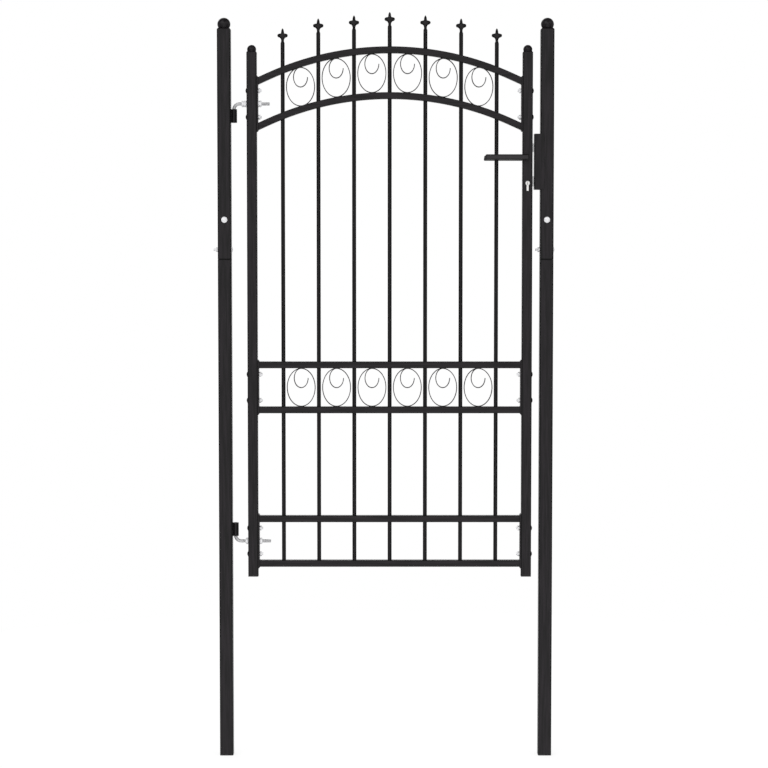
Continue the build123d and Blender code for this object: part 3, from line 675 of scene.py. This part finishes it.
class Bin:
    """Points and faces of one piece, gathered skin by skin."""

    def __init__(self):
        self.points = []
        self.faces = []

    def add_rings(self, rings, closed_loop=False):
        """A closed skin over rings that all have as many points."""
        first = len(self.points)
        for ring in rings:
            self.points.extend(ring)
        self.faces.extend(skin_faces(len(rings), len(rings[0]), first, closed_loop))

    def make(self, name, finish, slot, body, smooth_angle=SMOOTH_ANGLE):
        """The gathered skins as one mesh piece that rides on a body."""
        mesh = bpy.data.meshes.new(name)
        mesh.from_pydata([tuple(point) for point in self.points], [], self.faces)
        mesh.materials.append(finish)
        mesh.validate()
        mesh.shade_smooth()
        mesh.set_sharp_from_angle(angle=smooth_angle)
        piece = bpy.data.objects.new(name, mesh)
        bpy.context.scene.collection.objects.link(piece)
        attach(piece, body)
        print(name, "has", len(self.faces), "faces")
        return piece


def cross_directions(along):
    """Two directions square to a direction and to each other."""
    along = along.normalized()
    first = Vector((0, 1, 0)) if abs(along.y) < 0.5 else Vector((1, 0, 0))
    return first, along.cross(first)


def ring_around(centre, along, radius_at, sides):
    """One ring of points about a centre. radius_at gives the radius at each turn."""
    first, second = cross_directions(along)
    ring = []
    for side in range(sides):
        turn = 2 * pi * side / sides
        ring.append(centre + radius_at(turn) * (cos(turn) * first + sin(turn) * second))
    return ring


print("ring helpers ready")

# %% [markdown]
# ## Where each small solid lies
# Several CAD pieces hold many like solids, such as the twelve stile bolts. Their places are
# read from the CAD mesh itself: faces that share a corner belong to one solid. Typing the
# places in would work too, but they would stay behind when the gate changes.

# %% Boxes of the separate solids in one CAD piece
SAME_PLACE = 0.01 * MM


def solid_boxes(piece_name):
    """Lowest and highest corner of each separate solid in a CAD piece, left to right, bottom up."""
    mesh = cad_nodes[piece_name].data
    parent = {}

    def root_of(key):
        while parent[key] != key:
            parent[key] = parent[parent[key]]
            key = parent[key]
        return key

    keys = [tuple(round(value / SAME_PLACE) for value in vertex.co) for vertex in mesh.vertices]
    for key in keys:
        parent.setdefault(key, key)
    for face in mesh.polygons:
        first = root_of(keys[face.vertices[0]])
        for index in face.vertices[1:]:
            parent[root_of(keys[index])] = first
    groups = {}
    for vertex, key in zip(mesh.vertices, keys):
        groups.setdefault(root_of(key), []).append(vertex.co)
    boxes = [
        (
            Vector(min(point[axis] for point in group) for axis in (X, Y, Z)),
            Vector(max(point[axis] for point in group) for axis in (X, Y, Z)),
        )
        for group in groups.values()
    ]
    return sorted(boxes, key=lambda box: (round(box[0].x / MM), round(box[0].z / MM)))


post_bolt_boxes = solid_boxes("post_bolts")
stile_bolt_boxes = solid_boxes("stile_bolts")
print(len(post_bolt_boxes), "post bolts and", len(stile_bolt_boxes), "stile bolts")

# %% [markdown]
# ## Screw threads and nuts
# A thread is a groove that climbs round the rod. Six rings a turn are enough: each ring's
# radius falls into the groove and rises to the crest as it goes round. A bump texture would
# leave the outline smooth. A nut is a hexagon whose corners were turned off at thirty degrees,
# so its ring at each height is the smaller of the hexagon and the cone.

# %% Thread and nut makers
RINGS_PER_TURN = 6
THREAD_SIDES = 24
GROOVE_WIDTH = 1.25
GROOVE_FLANK = 4.0
TIP_CHAMFER = 1.4
NUT_SIDES = 48
NUT_CHAMFER = 0.9 * MM
NUT_CHAMFER_STEPS = (0.0, 0.25, 0.5, 1.0)
NUT_FACE_SHARE = 0.97
TURNED_SIDES = 36


def thread_groove(gone, turn, pitch):
    """How deep the groove is at this distance along the rod and this turn, from 0 to 1."""
    phase = (gone / pitch - turn / (2 * pi)) % 1.0
    return min(1.0, max(0.0, GROOVE_WIDTH - abs(phase - 0.5) * GROOVE_FLANK))


def add_threaded_end(bin_of, start, end, radius, pitch, depth):
    """A threaded stub from start to end whose tip is chamfered."""
    start, end = Vector(start), Vector(end)
    along = end - start
    length = along.length
    steps = ceil(length / pitch * RINGS_PER_TURN)
    rings = []
    for step in range(steps + 1):
        gone = length * step / steps
        tip_cut = max(0.0, depth * TIP_CHAMFER - (length - gone))

        def radius_at(turn):
            return radius - max(depth * thread_groove(gone, turn, pitch), tip_cut)

        rings.append(ring_around(start + along * step / steps, along, radius_at, THREAD_SIDES))
    bin_of.add_rings(rings)


def add_nut(bin_of, start, end, flats, bore_radius):
    """A hexagon nut from start to end, chamfered both ends. Its bore is filled by the rod."""
    start, end = Vector(start), Vector(end)
    along = end - start
    height = along.length
    corner = flats / 2 / cos(pi / 6)
    slope = (corner - flats / 2) / NUT_CHAMFER

    def hexagon(turn):
        return flats / 2 / cos((turn + pi / 6) % (pi / 3) - pi / 6)

    rings = []
    heights = [NUT_CHAMFER * share for share in NUT_CHAMFER_STEPS]
    heights += [height - value for value in reversed(heights)]
    rings.append(ring_around(start, along, lambda turn: bore_radius, NUT_SIDES))
    for gone in heights:
        cone = flats / 2 * NUT_FACE_SHARE + slope * min(gone, height - gone)

        def radius_at(turn):
            return min(hexagon(turn), cone)

        rings.append(ring_around(start + along * gone / height, along, radius_at, NUT_SIDES))
    rings.append(ring_around(end, along, lambda turn: bore_radius, NUT_SIDES))
    bin_of.add_rings(rings)


def add_turned(bin_of, start, along, profile):
    """A turned solid. The profile is a row of (distance along, radius)."""
    start, along = Vector(start), Vector(along).normalized()
    rings = [
        ring_around(start + along * gone, along, lambda turn: radius, TURNED_SIDES)
        for gone, radius in profile
    ]
    bin_of.add_rings(rings)


print("thread and nut makers ready")

# %% [markdown]
# ## Coach bolts
# A coach bolt has a low domed head, no slot, and is drawn tight by a nut at its far end. Two
# hold each post's lengths together, and two hold each rail plate to its stile. The heads of the
# stile bolts were sprayed with the gate and are black, the rest is bare zinc. A head could be
# cut from a ball, but turning a short profile gives the dome and its seat in one skin.

# %% Bolts
BOLT_RADIUS = 4 * MM
BOLT_PITCH = 1.25 * MM
BOLT_DEPTH = 0.55 * MM
NUT_FLATS = 13 * MM
NUT_HEIGHT = 6.5 * MM
DOME_STEPS = 10
DOME_TIP = 0.05 * MM
HEAD_LIP = 0.8 * MM
HEAD_SEAT_SHARE = 0.97


def dome_profile(radius, height):
    """A low dome with a small upright lip round its seat, as (distance along, radius)."""
    rise = height - HEAD_LIP
    ball = (radius**2 + rise**2) / (2 * rise)
    rows = [(0.0, radius * HEAD_SEAT_SHARE), (HEAD_LIP / 2, radius)]
    for step in range(DOME_STEPS + 1):
        away = radius * (1 - step / DOME_STEPS)
        rows.append((height - ball + sqrt(ball**2 - away**2), max(away, DOME_TIP)))
    return rows


def add_coach_bolt(head_bin, nut_bin, box, head_end_is_high, head_height, thread_end, trim=0.0):
    """A domed head, a nut and a threaded end, where the CAD bolt has its own."""
    low, high = box
    size = high - low
    axis = max((X, Y, Z), key=lambda candidate: size[candidate])
    centre = (low + high) / 2
    head_radius = min(size[other] for other in (X, Y, Z) if other != axis) / 2 - trim
    out = Vector((0, 0, 0))
    out[axis] = 1 if head_end_is_high else -1
    head_tip = centre + out * size[axis] / 2
    thread_tip = centre - out * size[axis] / 2
    add_turned(head_bin, head_tip - out * head_height, out, dome_profile(head_radius, head_height))
    nut_face = thread_tip + out * thread_end
    add_nut(nut_bin, nut_face, nut_face + out * NUT_HEIGHT, NUT_FLATS, BOLT_RADIUS - BOLT_DEPTH)
    add_threaded_end(
        nut_bin, nut_face + out * NUT_HEIGHT / 2, thread_tip, BOLT_RADIUS, BOLT_PITCH, BOLT_DEPTH
    )


POST_HEAD_HEIGHT = 4.4 * MM
POST_HEAD_TRIM = 1.0 * MM
POST_THREAD_END = 7 * MM
STILE_HEAD_HEIGHT = 3.6 * MM
STILE_THREAD_END = 4 * MM

post_bolt_bin = Bin()
for box in post_bolt_boxes:
    runs_along_x = box[1].x - box[0].x > box[1].y - box[0].y
    add_coach_bolt(
        post_bolt_bin,
        post_bolt_bin,
        box,
        runs_along_x,
        POST_HEAD_HEIGHT,
        POST_THREAD_END,
        POST_HEAD_TRIM,
    )
post_bolts_turned = post_bolt_bin.make("post_bolts_turned", bright_zinc, "zinc_plate", "posts")
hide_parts("post_bolts")

stile_head_bin, stile_nut_bin = Bin(), Bin()
for box in stile_bolt_boxes:
    on_latch_side = box[0].x > gate_middle_x
    add_coach_bolt(
        stile_head_bin, stile_nut_bin, box, on_latch_side, STILE_HEAD_HEIGHT, STILE_THREAD_END
    )
stile_head_bin.make("stile_bolt_heads", even_coat, "black_powder_coat", "leaf")
stile_nuts_turned = stile_nut_bin.make("stile_bolt_nuts", bright_zinc, "zinc_plate", "leaf")
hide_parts("stile_bolts")

# %% [markdown]
# ## Hinge bolts
# Each hinge is a zinc-plated rod, threaded where it passes through the stile and bent over so
# that its smooth end drops into a barrel on the post. The CAD rod is smooth all along. Here the
# straight stretch gets a thread of M10 size that runs out just before the bend. A curve with a
# bevel would bend as well, but its skin would have no thread.

# %% Hinge bolt path
ROD_RADIUS = 5 * MM
BEND_RADIUS = 16.2 * MM
BEND_STEPS = 14
ROD_PITCH = 1.5 * MM
ROD_DEPTH = 0.4 * MM
RUN_OUT = 4 * MM
END_CHAMFER = 1.0 * MM
ROD_SIDES = 28


def hinge_bolt_stations(rod_end_x, pin_x, rod_z, pin_end_z):
    """Places along the rod as (centre, direction, distance) from its threaded end to the pin."""
    up = 1 if pin_end_z > rod_z else -1
    bend_start_x = pin_x + BEND_RADIUS
    stations = []
    straight = rod_end_x - bend_start_x
    steps = ceil(straight / ROD_PITCH * RINGS_PER_TURN)
    for step in range(steps):
        gone = straight * step / steps
        stations.append((Vector((rod_end_x - gone, 0, rod_z)), Vector((-1, 0, 0)), gone))
    for step in range(BEND_STEPS + 1):
        turn = pi / 2 * step / BEND_STEPS
        centre = Vector(
            (
                bend_start_x - BEND_RADIUS * sin(turn),
                0,
                rod_z + up * BEND_RADIUS * (1 - cos(turn)),
            )
        )
        direction = Vector((-cos(turn), 0, up * sin(turn)))
        stations.append((centre, direction, straight + BEND_RADIUS * turn))
    pin_length = abs(pin_end_z - rod_z) - BEND_RADIUS
    for share in (0.5, 1 - END_CHAMFER / pin_length, 1.0):
        along = pin_length * share
        centre = Vector((pin_x, 0, rod_z + up * (BEND_RADIUS + along)))
        gone = straight + BEND_RADIUS * pi / 2 + along
        stations.append((centre, Vector((0, 0, up)), gone))
    return stations, straight


def hinge_bolt(name, cad_name):
    """A threaded rod with a bent-over pin, in the place of its CAD piece."""
    low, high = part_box(cad_name)
    points_down = name.startswith("upper")
    rod_z = high.z - ROD_RADIUS if points_down else low.z + ROD_RADIUS
    pin_end_z = low.z if points_down else high.z
    stations, straight = hinge_bolt_stations(high.x, low.x + ROD_RADIUS, rod_z, pin_end_z)
    whole = stations[-1][2]
    rings = []
    for centre, direction, gone in stations:
        end_cut = max(0.0, END_CHAMFER - min(gone, whole - gone))
        fade = min(1.0, max(0.0, (straight - RUN_OUT / 2 - gone) / RUN_OUT))

        def radius_at(turn):
            return ROD_RADIUS - max(ROD_DEPTH * fade * thread_groove(gone, turn, ROD_PITCH), end_cut)

        rings.append(ring_around(centre, direction, radius_at, ROD_SIDES))
    rod_bin = Bin()
    rod_bin.add_rings(rings)
    rod = rod_bin.make(name, grey_zinc, "zinc_plate", "leaf")
    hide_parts(cad_name)
    return rod_z


upper_rod_z = hinge_bolt("upper_hinge_bolt_threaded", "upper_hinge_bolt")
lower_rod_z = hinge_bolt("lower_hinge_bolt_threaded", "lower_hinge_bolt")
print("hinge rods at", round(upper_rod_z / MM, 1), "and", round(lower_rod_z / MM, 1), "mm")

# %% [markdown]
# A nut on each side of the stile holds the rod. The upper rod also has a washer under each nut
# and a jam nut outside its left one. Each stack grows from the face of the stile or of the
# rail's end plate, so the nuts stay seated when a tube changes. Nuts could be copied from one
# object, but gathered in one bin they are a single piece that is easy to move with the leaf.

# %% Hinge nuts and washers
HINGE_NUT_FLATS = 17 * MM
HINGE_NUT_HEIGHT = 8 * MM
HINGE_JAM_HEIGHT = 5 * MM
WASHER_RADIUS = 10 * MM
WASHER_HEIGHT = 2 * MM
WASHER_EDGE = 0.4 * MM
JAM_GAP = 0.3 * MM


def add_washer(bin_of, seat, out):
    """A flat washer with softened edges. It grows from its seat along out."""
    rows = [
        (0.0, WASHER_RADIUS - WASHER_EDGE),
        (WASHER_EDGE, WASHER_RADIUS),
        (WASHER_HEIGHT - WASHER_EDGE, WASHER_RADIUS),
        (WASHER_HEIGHT, WASHER_RADIUS - WASHER_EDGE),
    ]
    add_turned(bin_of, seat, out, rows)


def add_hinge_nut_stack(bin_of, rod_z, face_x, way, has_washer, has_jam_nut):
    """Washer, nut and jam nut in their order from the face of the stile or the plate."""
    out = Vector((way, 0, 0))
    place = Vector((face_x, 0, rod_z))
    if has_washer:
        add_washer(bin_of, place, out)
        place = place + out * WASHER_HEIGHT
    bore = ROD_RADIUS - ROD_DEPTH
    add_nut(bin_of, place, place + out * HINGE_NUT_HEIGHT, HINGE_NUT_FLATS, bore)
    if has_jam_nut:
        place = place + out * (HINGE_NUT_HEIGHT + JAM_GAP)
        end = place + out * (HINGE_JAM_HEIGHT - JAM_GAP)
        add_nut(bin_of, place, end, HINGE_NUT_FLATS, bore)


stile_outer_x = span("hinge_stile", X)[0]
plate_inner_x = span("bottom_lower_rail", X)[0]
hinge_nut_bin = Bin()
add_hinge_nut_stack(hinge_nut_bin, upper_rod_z, stile_outer_x, -1, True, True)
add_hinge_nut_stack(hinge_nut_bin, upper_rod_z, plate_inner_x, 1, True, False)
add_hinge_nut_stack(hinge_nut_bin, lower_rod_z, stile_outer_x, -1, False, False)
add_hinge_nut_stack(hinge_nut_bin, lower_rod_z, plate_inner_x, 1, False, False)
hinge_nuts_turned = hinge_nut_bin.make("hinge_nuts_turned", bright_zinc, "zinc_plate", "leaf")
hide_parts("hinge_nuts")

# %% [markdown]
# ## Spear points
# Each bar ends in a small cast spear point: a waisted neck, a flat body with a round lobe on
# each side, and a blunt spear. Its outline is a short table of height, half width, half depth
# and roundness, where two is an ellipse and less is nearer to a diamond. A smooth curve through
# the rows gives the rings, so the casting is flat at the lobes and ridged on the spear.
# Sculpting one by hand and copying it would do as well, but rows are easier to correct.

# %% Spear points
SPEAR_ROWS = (
    (0.0, 6.0, 6.0, 2.0),
    (2.2, 5.5, 5.5, 2.0),
    (5.0, 4.4, 4.4, 2.0),
    (8.5, 4.2, 4.2, 2.0),
    (12.5, 5.1, 4.5, 2.0),
    (15.2, 6.8, 4.5, 2.0),
    (16.8, 9.2, 4.5, 2.0),
    (17.9, 12.0, 4.5, 2.0),
    (19.4, 14.2, 4.5, 2.0),
    (21.6, 15.2, 4.5, 2.0),
    (24.8, 15.2, 4.5, 2.0),
    (26.8, 14.0, 4.4, 2.0),
    (28.1, 11.4, 4.3, 2.0),
    (28.9, 7.8, 4.2, 1.9),
    (29.6, 5.3, 4.1, 1.8),
    (31.2, 4.5, 4.0, 1.6),
    (34.5, 4.1, 3.9, 1.5),
    (38.5, 3.4, 3.4, 1.5),
    (41.6, 2.2, 2.2, 1.6),
    (43.4, 1.0, 1.0, 1.8),
    (43.9, 0.3, 0.3, 2.0),
)
SPEAR_SIDES = 32
SPEAR_SMOOTH_ANGLE = radians(60)
STEPS_BETWEEN_ROWS = 3


def smooth_rows(rows, steps):
    """A smooth curve through rows of numbers, with steps places from each row to the next."""
    smooth = []
    for index in range(len(rows) - 1):
        before, here = rows[max(index - 1, 0)], rows[index]
        there, after = rows[index + 1], rows[min(index + 2, len(rows) - 1)]
        for step in range(steps):
            t = step / steps
            smooth.append(
                tuple(
                    0.5 * (2 * b + (c - a) * t + (2 * a - 5 * b + 4 * c - d) * t**2
                           + (3 * b - a - 3 * c + d) * t**3)
                    for a, b, c, d in zip(before, here, there, after)
                )
            )
    smooth.append(rows[-1])
    return smooth


def signed_power(value, power):
    """The power of a number that keeps its sign."""
    return abs(value) ** power * (1 if value >= 0 else -1)


def add_spear_point(bin_of, x, foot_z):
    """One spear point whose neck stands on the end of a bar."""
    rings = []
    for height, half_width, half_depth, roundness in smooth_rows(SPEAR_ROWS, STEPS_BETWEEN_ROWS):
        ring = []
        for side in range(SPEAR_SIDES):
            turn = 2 * pi * side / SPEAR_SIDES
            across = half_width * signed_power(cos(turn), 2 / roundness)
            deep = half_depth * signed_power(sin(turn), 2 / roundness)
            ring.append(Vector((x + across * MM, deep * MM, foot_z + height * MM)))
        rings.append(ring)
    bin_of.add_rings(rings)


spear_bin = Bin()
for bar in bars:
    low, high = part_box(bar)
    add_spear_point(spear_bin, (low.x + high.x) / 2, high.z)
spear_points = spear_bin.make(
    "spear_points", round_coat, "black_powder_coat", "leaf", smooth_angle=SPEAR_SMOOTH_ANGLE
)
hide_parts("finials")

# %% [markdown]
# ## Lever handles
# Each lever is a flat cast grip with softly rounded edges and a round hub that turns in the
# stile. Its free end is cut a little aslant. The grip is a row of rounded rectangles along X,
# and its ends are small steps inwards, as a casting is eased where the mould parts. A block
# with a bevel modifier would be shorter to write, but its end would not lean. Faces that look
# back at the gate get the darker, rougher copy of the finish, which is painted shade.

# %% Levers
LEVER_EDGE = 3.2 * MM
LEVER_THICKNESS = 9 * MM
LEVER_SLANT = 2.0 * MM
LEVER_REACH = 121 * MM
LEAST_CORNER = 0.3 * MM
CORNER_STEPS = 5
END_STEPS = 5
HUB_RADIUS = 7.5 * MM
HUB_NECK_RADIUS = 6.3 * MM
HUB_CHAMFER = 0.6 * MM
HUB_COLLAR = 4.0 * MM
HUB_TAPER = 1.5 * MM
HUB_FLARE = 5 * MM
HUB_FLARE_RADIUS = 7.1 * MM
FACING_GATE = -0.5


def rounded_section(half_width, half_height, corner):
    """Points (y, z) round a rectangle with round corners, about its middle."""
    points = []
    for quarter, (sy, sz) in enumerate(((1, 1), (-1, 1), (-1, -1), (1, -1))):
        for step in range(CORNER_STEPS + 1):
            turn = pi / 2 * (quarter + step / CORNER_STEPS)
            points.append(
                (
                    sy * (half_width - corner) + corner * cos(turn),
                    sz * (half_height - corner) + corner * sin(turn),
                )
            )
    return points


def add_grip(bin_of, left_x, right_x, middle_y, middle_z, half_height):
    """The flat grip from its slanted free end to the spindle."""
    free_end = []
    for step in range(END_STEPS, -1, -1):
        turn = pi / 2 * step / END_STEPS
        free_end.append((left_x + LEVER_EDGE * (1 - sin(turn)), LEVER_EDGE * (1 - cos(turn))))
    spindle_end = [(left_x + right_x - x, inset) for x, inset in reversed(free_end)]
    middle_x = (left_x + right_x) / 2
    rings = []
    for x, inset in [*free_end, *spindle_end]:
        half_y = LEVER_THICKNESS / 2 - inset
        half_z = half_height - inset
        corner = max(LEVER_EDGE - inset, LEAST_CORNER)
        ring = []
        for y, z in rounded_section(half_y, half_z, corner):
            slant = LEVER_SLANT * (0.5 - z / (2 * half_height)) if x < middle_x else 0.0
            ring.append(Vector((x - slant, middle_y + y, middle_z + z)))
        rings.append(ring)
    bin_of.add_rings(rings)


spindle_low, spindle_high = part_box("lever_spindle")
spindle_x = (spindle_low.x + spindle_high.x) / 2
for cad_name, way in (("lever_front", -1), ("lever_back", 1)):
    low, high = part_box(cad_name)
    lever_z = (low.z + high.z) / 2
    outer_y, inner_y = (high.y, low.y) if way > 0 else (low.y, high.y)
    lever_bin = Bin()
    add_grip(
        lever_bin,
        spindle_x - LEVER_REACH,
        high.x,
        outer_y - way * LEVER_THICKNESS / 2,
        lever_z,
        (high.z - low.z) / 2,
    )
    hub_length = abs(outer_y - inner_y) - LEVER_THICKNESS / 2
    hub_profile = [
        (0.0, HUB_RADIUS - HUB_CHAMFER),
        (HUB_CHAMFER, HUB_RADIUS),
        (HUB_COLLAR, HUB_RADIUS),
        (HUB_COLLAR + HUB_TAPER, HUB_NECK_RADIUS),
        (hub_length - HUB_FLARE, HUB_NECK_RADIUS),
        (hub_length, HUB_FLARE_RADIUS),
    ]
    add_turned(lever_bin, (spindle_x, inner_y, lever_z), (0, way, 0), hub_profile)
    lever_cast = lever_bin.make(f"{cad_name}_cast", lever_black, "black_powder_coat", "lever")
    # Faces that look back at the gate take the darker copy: painted shade.
    lever_cast.data.materials.append(lever_shaded)
    for face in lever_cast.data.polygons:
        if face.normal.y * way < FACING_GATE:
            face.material_index = 1
    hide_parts(cad_name)

# %% [markdown]
# ## Lock face
# The cylinder keeps its CAD shape. Round its key slot sits the rim of the plug that turns with
# the key, a low ring with eased edges. The forend, which closes the edge of the stile, is held
# by two screws whose low heads stand a hair proud. A texture could draw both, but rims and
# heads that stand proud catch the light from every side.

# %% Cylinder plugs and forend screws
PLUG_SIDES = 40
PLUG_RADIUS = 6.2 * MM
PLUG_BORE = 5.0 * MM
PLUG_RISE = 0.25 * MM
PLUG_EASE = 0.2 * MM
PLUG_SHOULDER = 0.7
PLUG_SUNK = -0.5
SCREW_RADIUS = 3.6 * MM
SCREW_INSET = 11 * MM
SCREW_RISE = 0.25 * MM
SCREW_SUNK = -0.3 * MM
SCREW_SHOULDER = 0.3
SCREW_TOP_SHARE = 0.8

cylinder_low, cylinder_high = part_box("lock_cylinder")
cylinder_x = (cylinder_low.x + cylinder_high.x) / 2
round_radius = (cylinder_high.x - cylinder_low.x) / 2
plug_z = cylinder_high.z - round_radius
plug_profile = (
    (PLUG_SUNK, PLUG_BORE),
    (PLUG_SHOULDER, PLUG_BORE),
    (1.0, PLUG_BORE + PLUG_EASE),
    (1.0, PLUG_RADIUS - PLUG_EASE),
    (PLUG_SHOULDER, PLUG_RADIUS),
    (PLUG_SUNK, PLUG_RADIUS),
)
plug_bin = Bin()
for face_y, way in ((cylinder_low.y, -1), (cylinder_high.y, 1)):
    rings = []
    for rise, radius in plug_profile:
        centre = Vector((cylinder_x, face_y + way * rise * PLUG_RISE, plug_z))
        rings.append(ring_around(centre, Vector((0, way, 0)), lambda turn: radius, PLUG_SIDES))
    plug_bin.add_rings(rings, closed_loop=True)
plug_bin.make("cylinder_plug_rims", steel, "zinc_plate", "leaf")

forend_low, forend_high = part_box("lock_forend")
screw_bin = Bin()
for screw_z in (forend_low.z + SCREW_INSET, forend_high.z - SCREW_INSET):
    rows = [
        (SCREW_SUNK, SCREW_RADIUS),
        (SCREW_RISE * SCREW_SHOULDER, SCREW_RADIUS),
        (SCREW_RISE, SCREW_RADIUS * SCREW_TOP_SHARE),
    ]
    add_turned(screw_bin, (forend_high.x, 0, screw_z), (1, 0, 0), rows)
screw_bin.make("forend_screws", bright_zinc, "zinc_plate", "leaf")

# %% [markdown]
# ## Weld beads
# The gate is welded together, and after spraying each weld still shows as a rippled bead along
# the joint. A bead here is a row of rings along a line in the corner between two surfaces. The
# ring's radius swells and shrinks every couple of millimetres, and half of it is buried in the
# metal, so only the bead's back shows. A bump in the coat could draw the ripples, but the
# corner would keep its sharp outline.

# %% Bead maker
RIPPLE = 2.4 * MM
RIPPLE_SHARE = 0.16
RINGS_PER_RIPPLE = 4
LEAST_SPANS = 4
WANDER_SHARE = 0.10
WANDER_SCALE = 300
END_ROUNDING = 0.05
BEAD_SIDES = 8
bead_bins = {"posts": Bin(), "leaf": Bin()}


def add_bead(body, route, radius):
    """A rippled bead along a row of points, gathered with the others of its body."""
    route = [Vector(point) for point in route]
    lengths = [(b - a).length for a, b in zip(route, route[1:])]
    whole = sum(lengths)
    count = max(LEAST_SPANS, ceil(whole / RIPPLE * RINGS_PER_RIPPLE)) + 1
    rings = []
    for step in range(count):
        gone = whole * step / (count - 1)
        stretch, left = 0, gone
        while stretch < len(lengths) - 1 and left > lengths[stretch]:
            left -= lengths[stretch]
            stretch += 1
        along = (route[stretch + 1] - route[stretch]).normalized()
        centre = route[stretch] + along * left
        wave = 1 - RIPPLE_SHARE * (0.5 + 0.5 * cos(2 * pi * gone / RIPPLE))
        wander = 1 + WANDER_SHARE * noise.noise(centre * WANDER_SCALE)
        from_end = min(gone, whole - gone)
        rounding = sqrt(max(END_ROUNDING, 1 - max(0.0, 1 - from_end / radius) ** 2))
        size = radius * wave * wander * rounding
        rings.append(ring_around(centre, along, lambda turn: size, BEAD_SIDES))
    bead_bins[body].add_rings(rings)


print("bead maker ready")

# %% [markdown]
# The barrels of the hinges are welded to the post down both sides, the strike box along its two
# laps, each rail all round where it meets its end plate, each bar by a short tack at the back,
# under every straight rail that it comes out of, and each scroll by two tacks above and two
# below. The height of a rail at its plate is read from its mesh, because the arched rails reach
# the plate at a slant.

# %% Lay the beads
BARREL_BEAD = 2.0 * MM
BARREL_BEAD_INSET = 2 * MM
BARREL_BEAD_OUT = 0.6 * MM
BARREL_CORNER_SHARE = 0.62
STRIKE_BEAD = 1.2 * MM
STRIKE_STITCHES = ((0.04, 0.2), (0.42, 0.58), (0.8, 0.96))
RAIL_BEAD = 1.1 * MM
RAIL_BEAD_OUT = 0.2 * MM
END_REACH = 0.6 * MM
TACK_BEAD = 1.3 * MM
TACK_DROP = 0.2 * MM
TACK_STEPS = 8
TACK_START, TACK_SWEEP = 30, 120
SCROLL_TACK_BEAD = 0.9 * MM
SCROLL_TACK_DEPTH = 0.8 * MM
SCROLL_TACK_OFFSET = 5 * MM
SCROLL_TACK_INSET = 1 * MM

post_face_x = span("hinge_post_lower", X)[1]
for barrel in ("upper_hinge_barrel", "lower_hinge_barrel"):
    low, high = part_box(barrel)
    barrel_radius = (high.x - low.x) / 2
    for sign in (-1, 1):
        corner_y = sign * barrel_radius * BARREL_CORNER_SHARE
        bead_x = post_face_x + BARREL_BEAD_OUT
        foot = (bead_x, corner_y, low.z + BARREL_BEAD_INSET)
        top = (bead_x, corner_y, high.z - BARREL_BEAD_INSET)
        add_bead("posts", [foot, top], BARREL_BEAD)

strike_low, strike_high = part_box("strike_box")
strike_height = strike_high.z - strike_low.z
for lap_y in span("latch_post_upper", Y):
    for stitch in STRIKE_STITCHES:
        route = [(strike_high.x, lap_y, strike_low.z + strike_height * share) for share in stitch]
        add_bead("posts", route, STRIKE_BEAD)


def end_heights(piece_name, end_x):
    """Lowest and highest place of a CAD piece's own end at one place along X."""
    heights = [
        vertex.co.z
        for vertex in cad_nodes[piece_name].data.vertices
        if abs(vertex.co.x - end_x) < END_REACH
    ]
    return min(heights), max(heights)


for rail in [*straight_rails, *arch_rails]:
    low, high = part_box(rail)
    for plate_face_x, inward in ((low.x, 1), (high.x, -1)):
        foot_z, top_z = end_heights(rail, plate_face_x)
        bead_x = plate_face_x + inward * RAIL_BEAD_OUT
        ring = [
            (bead_x, low.y, foot_z),
            (bead_x, high.y, foot_z),
            (bead_x, high.y, top_z),
            (bead_x, low.y, top_z),
        ]
        for first_corner, second_corner in zip(ring, ring[1:] + ring[:1]):
            add_bead("leaf", [first_corner, second_corner], RAIL_BEAD)

for rail in straight_rails:
    rail_foot_z = span(rail, Z)[0]
    for bar in bars:
        low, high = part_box(bar)
        bar_x, bar_radius = (low.x + high.x) / 2, (high.x - low.x) / 2
        if rail_foot_z < low.z:
            continue
        route = []
        for step in range(TACK_STEPS + 1):
            turn = radians(TACK_START + TACK_SWEEP * step / TACK_STEPS)
            place_x = bar_x + bar_radius * cos(turn)
            route.append((place_x, bar_radius * sin(turn), rail_foot_z - TACK_DROP))
        add_bead("leaf", route, TACK_BEAD)

for scroll_set in ("middle_scrolls", "upper_scrolls"):
    for low, high in solid_boxes(scroll_set):
        for touch_z in (low.z + SCROLL_TACK_DEPTH, high.z - SCROLL_TACK_DEPTH):
            for offset in (-SCROLL_TACK_OFFSET, SCROLL_TACK_OFFSET):
                touch_x = (low.x + high.x) / 2 + offset
                front = (touch_x, low.y + SCROLL_TACK_INSET, touch_z)
                back = (touch_x, high.y - SCROLL_TACK_INSET, touch_z)
                add_bead("leaf", [front, back], SCROLL_TACK_BEAD)

weld_names = {"posts": "post_weld_beads", "leaf": "leaf_weld_beads"}
for body, piece_name in weld_names.items():
    bead_bins[body].make(piece_name, even_coat, "black_powder_coat", body)
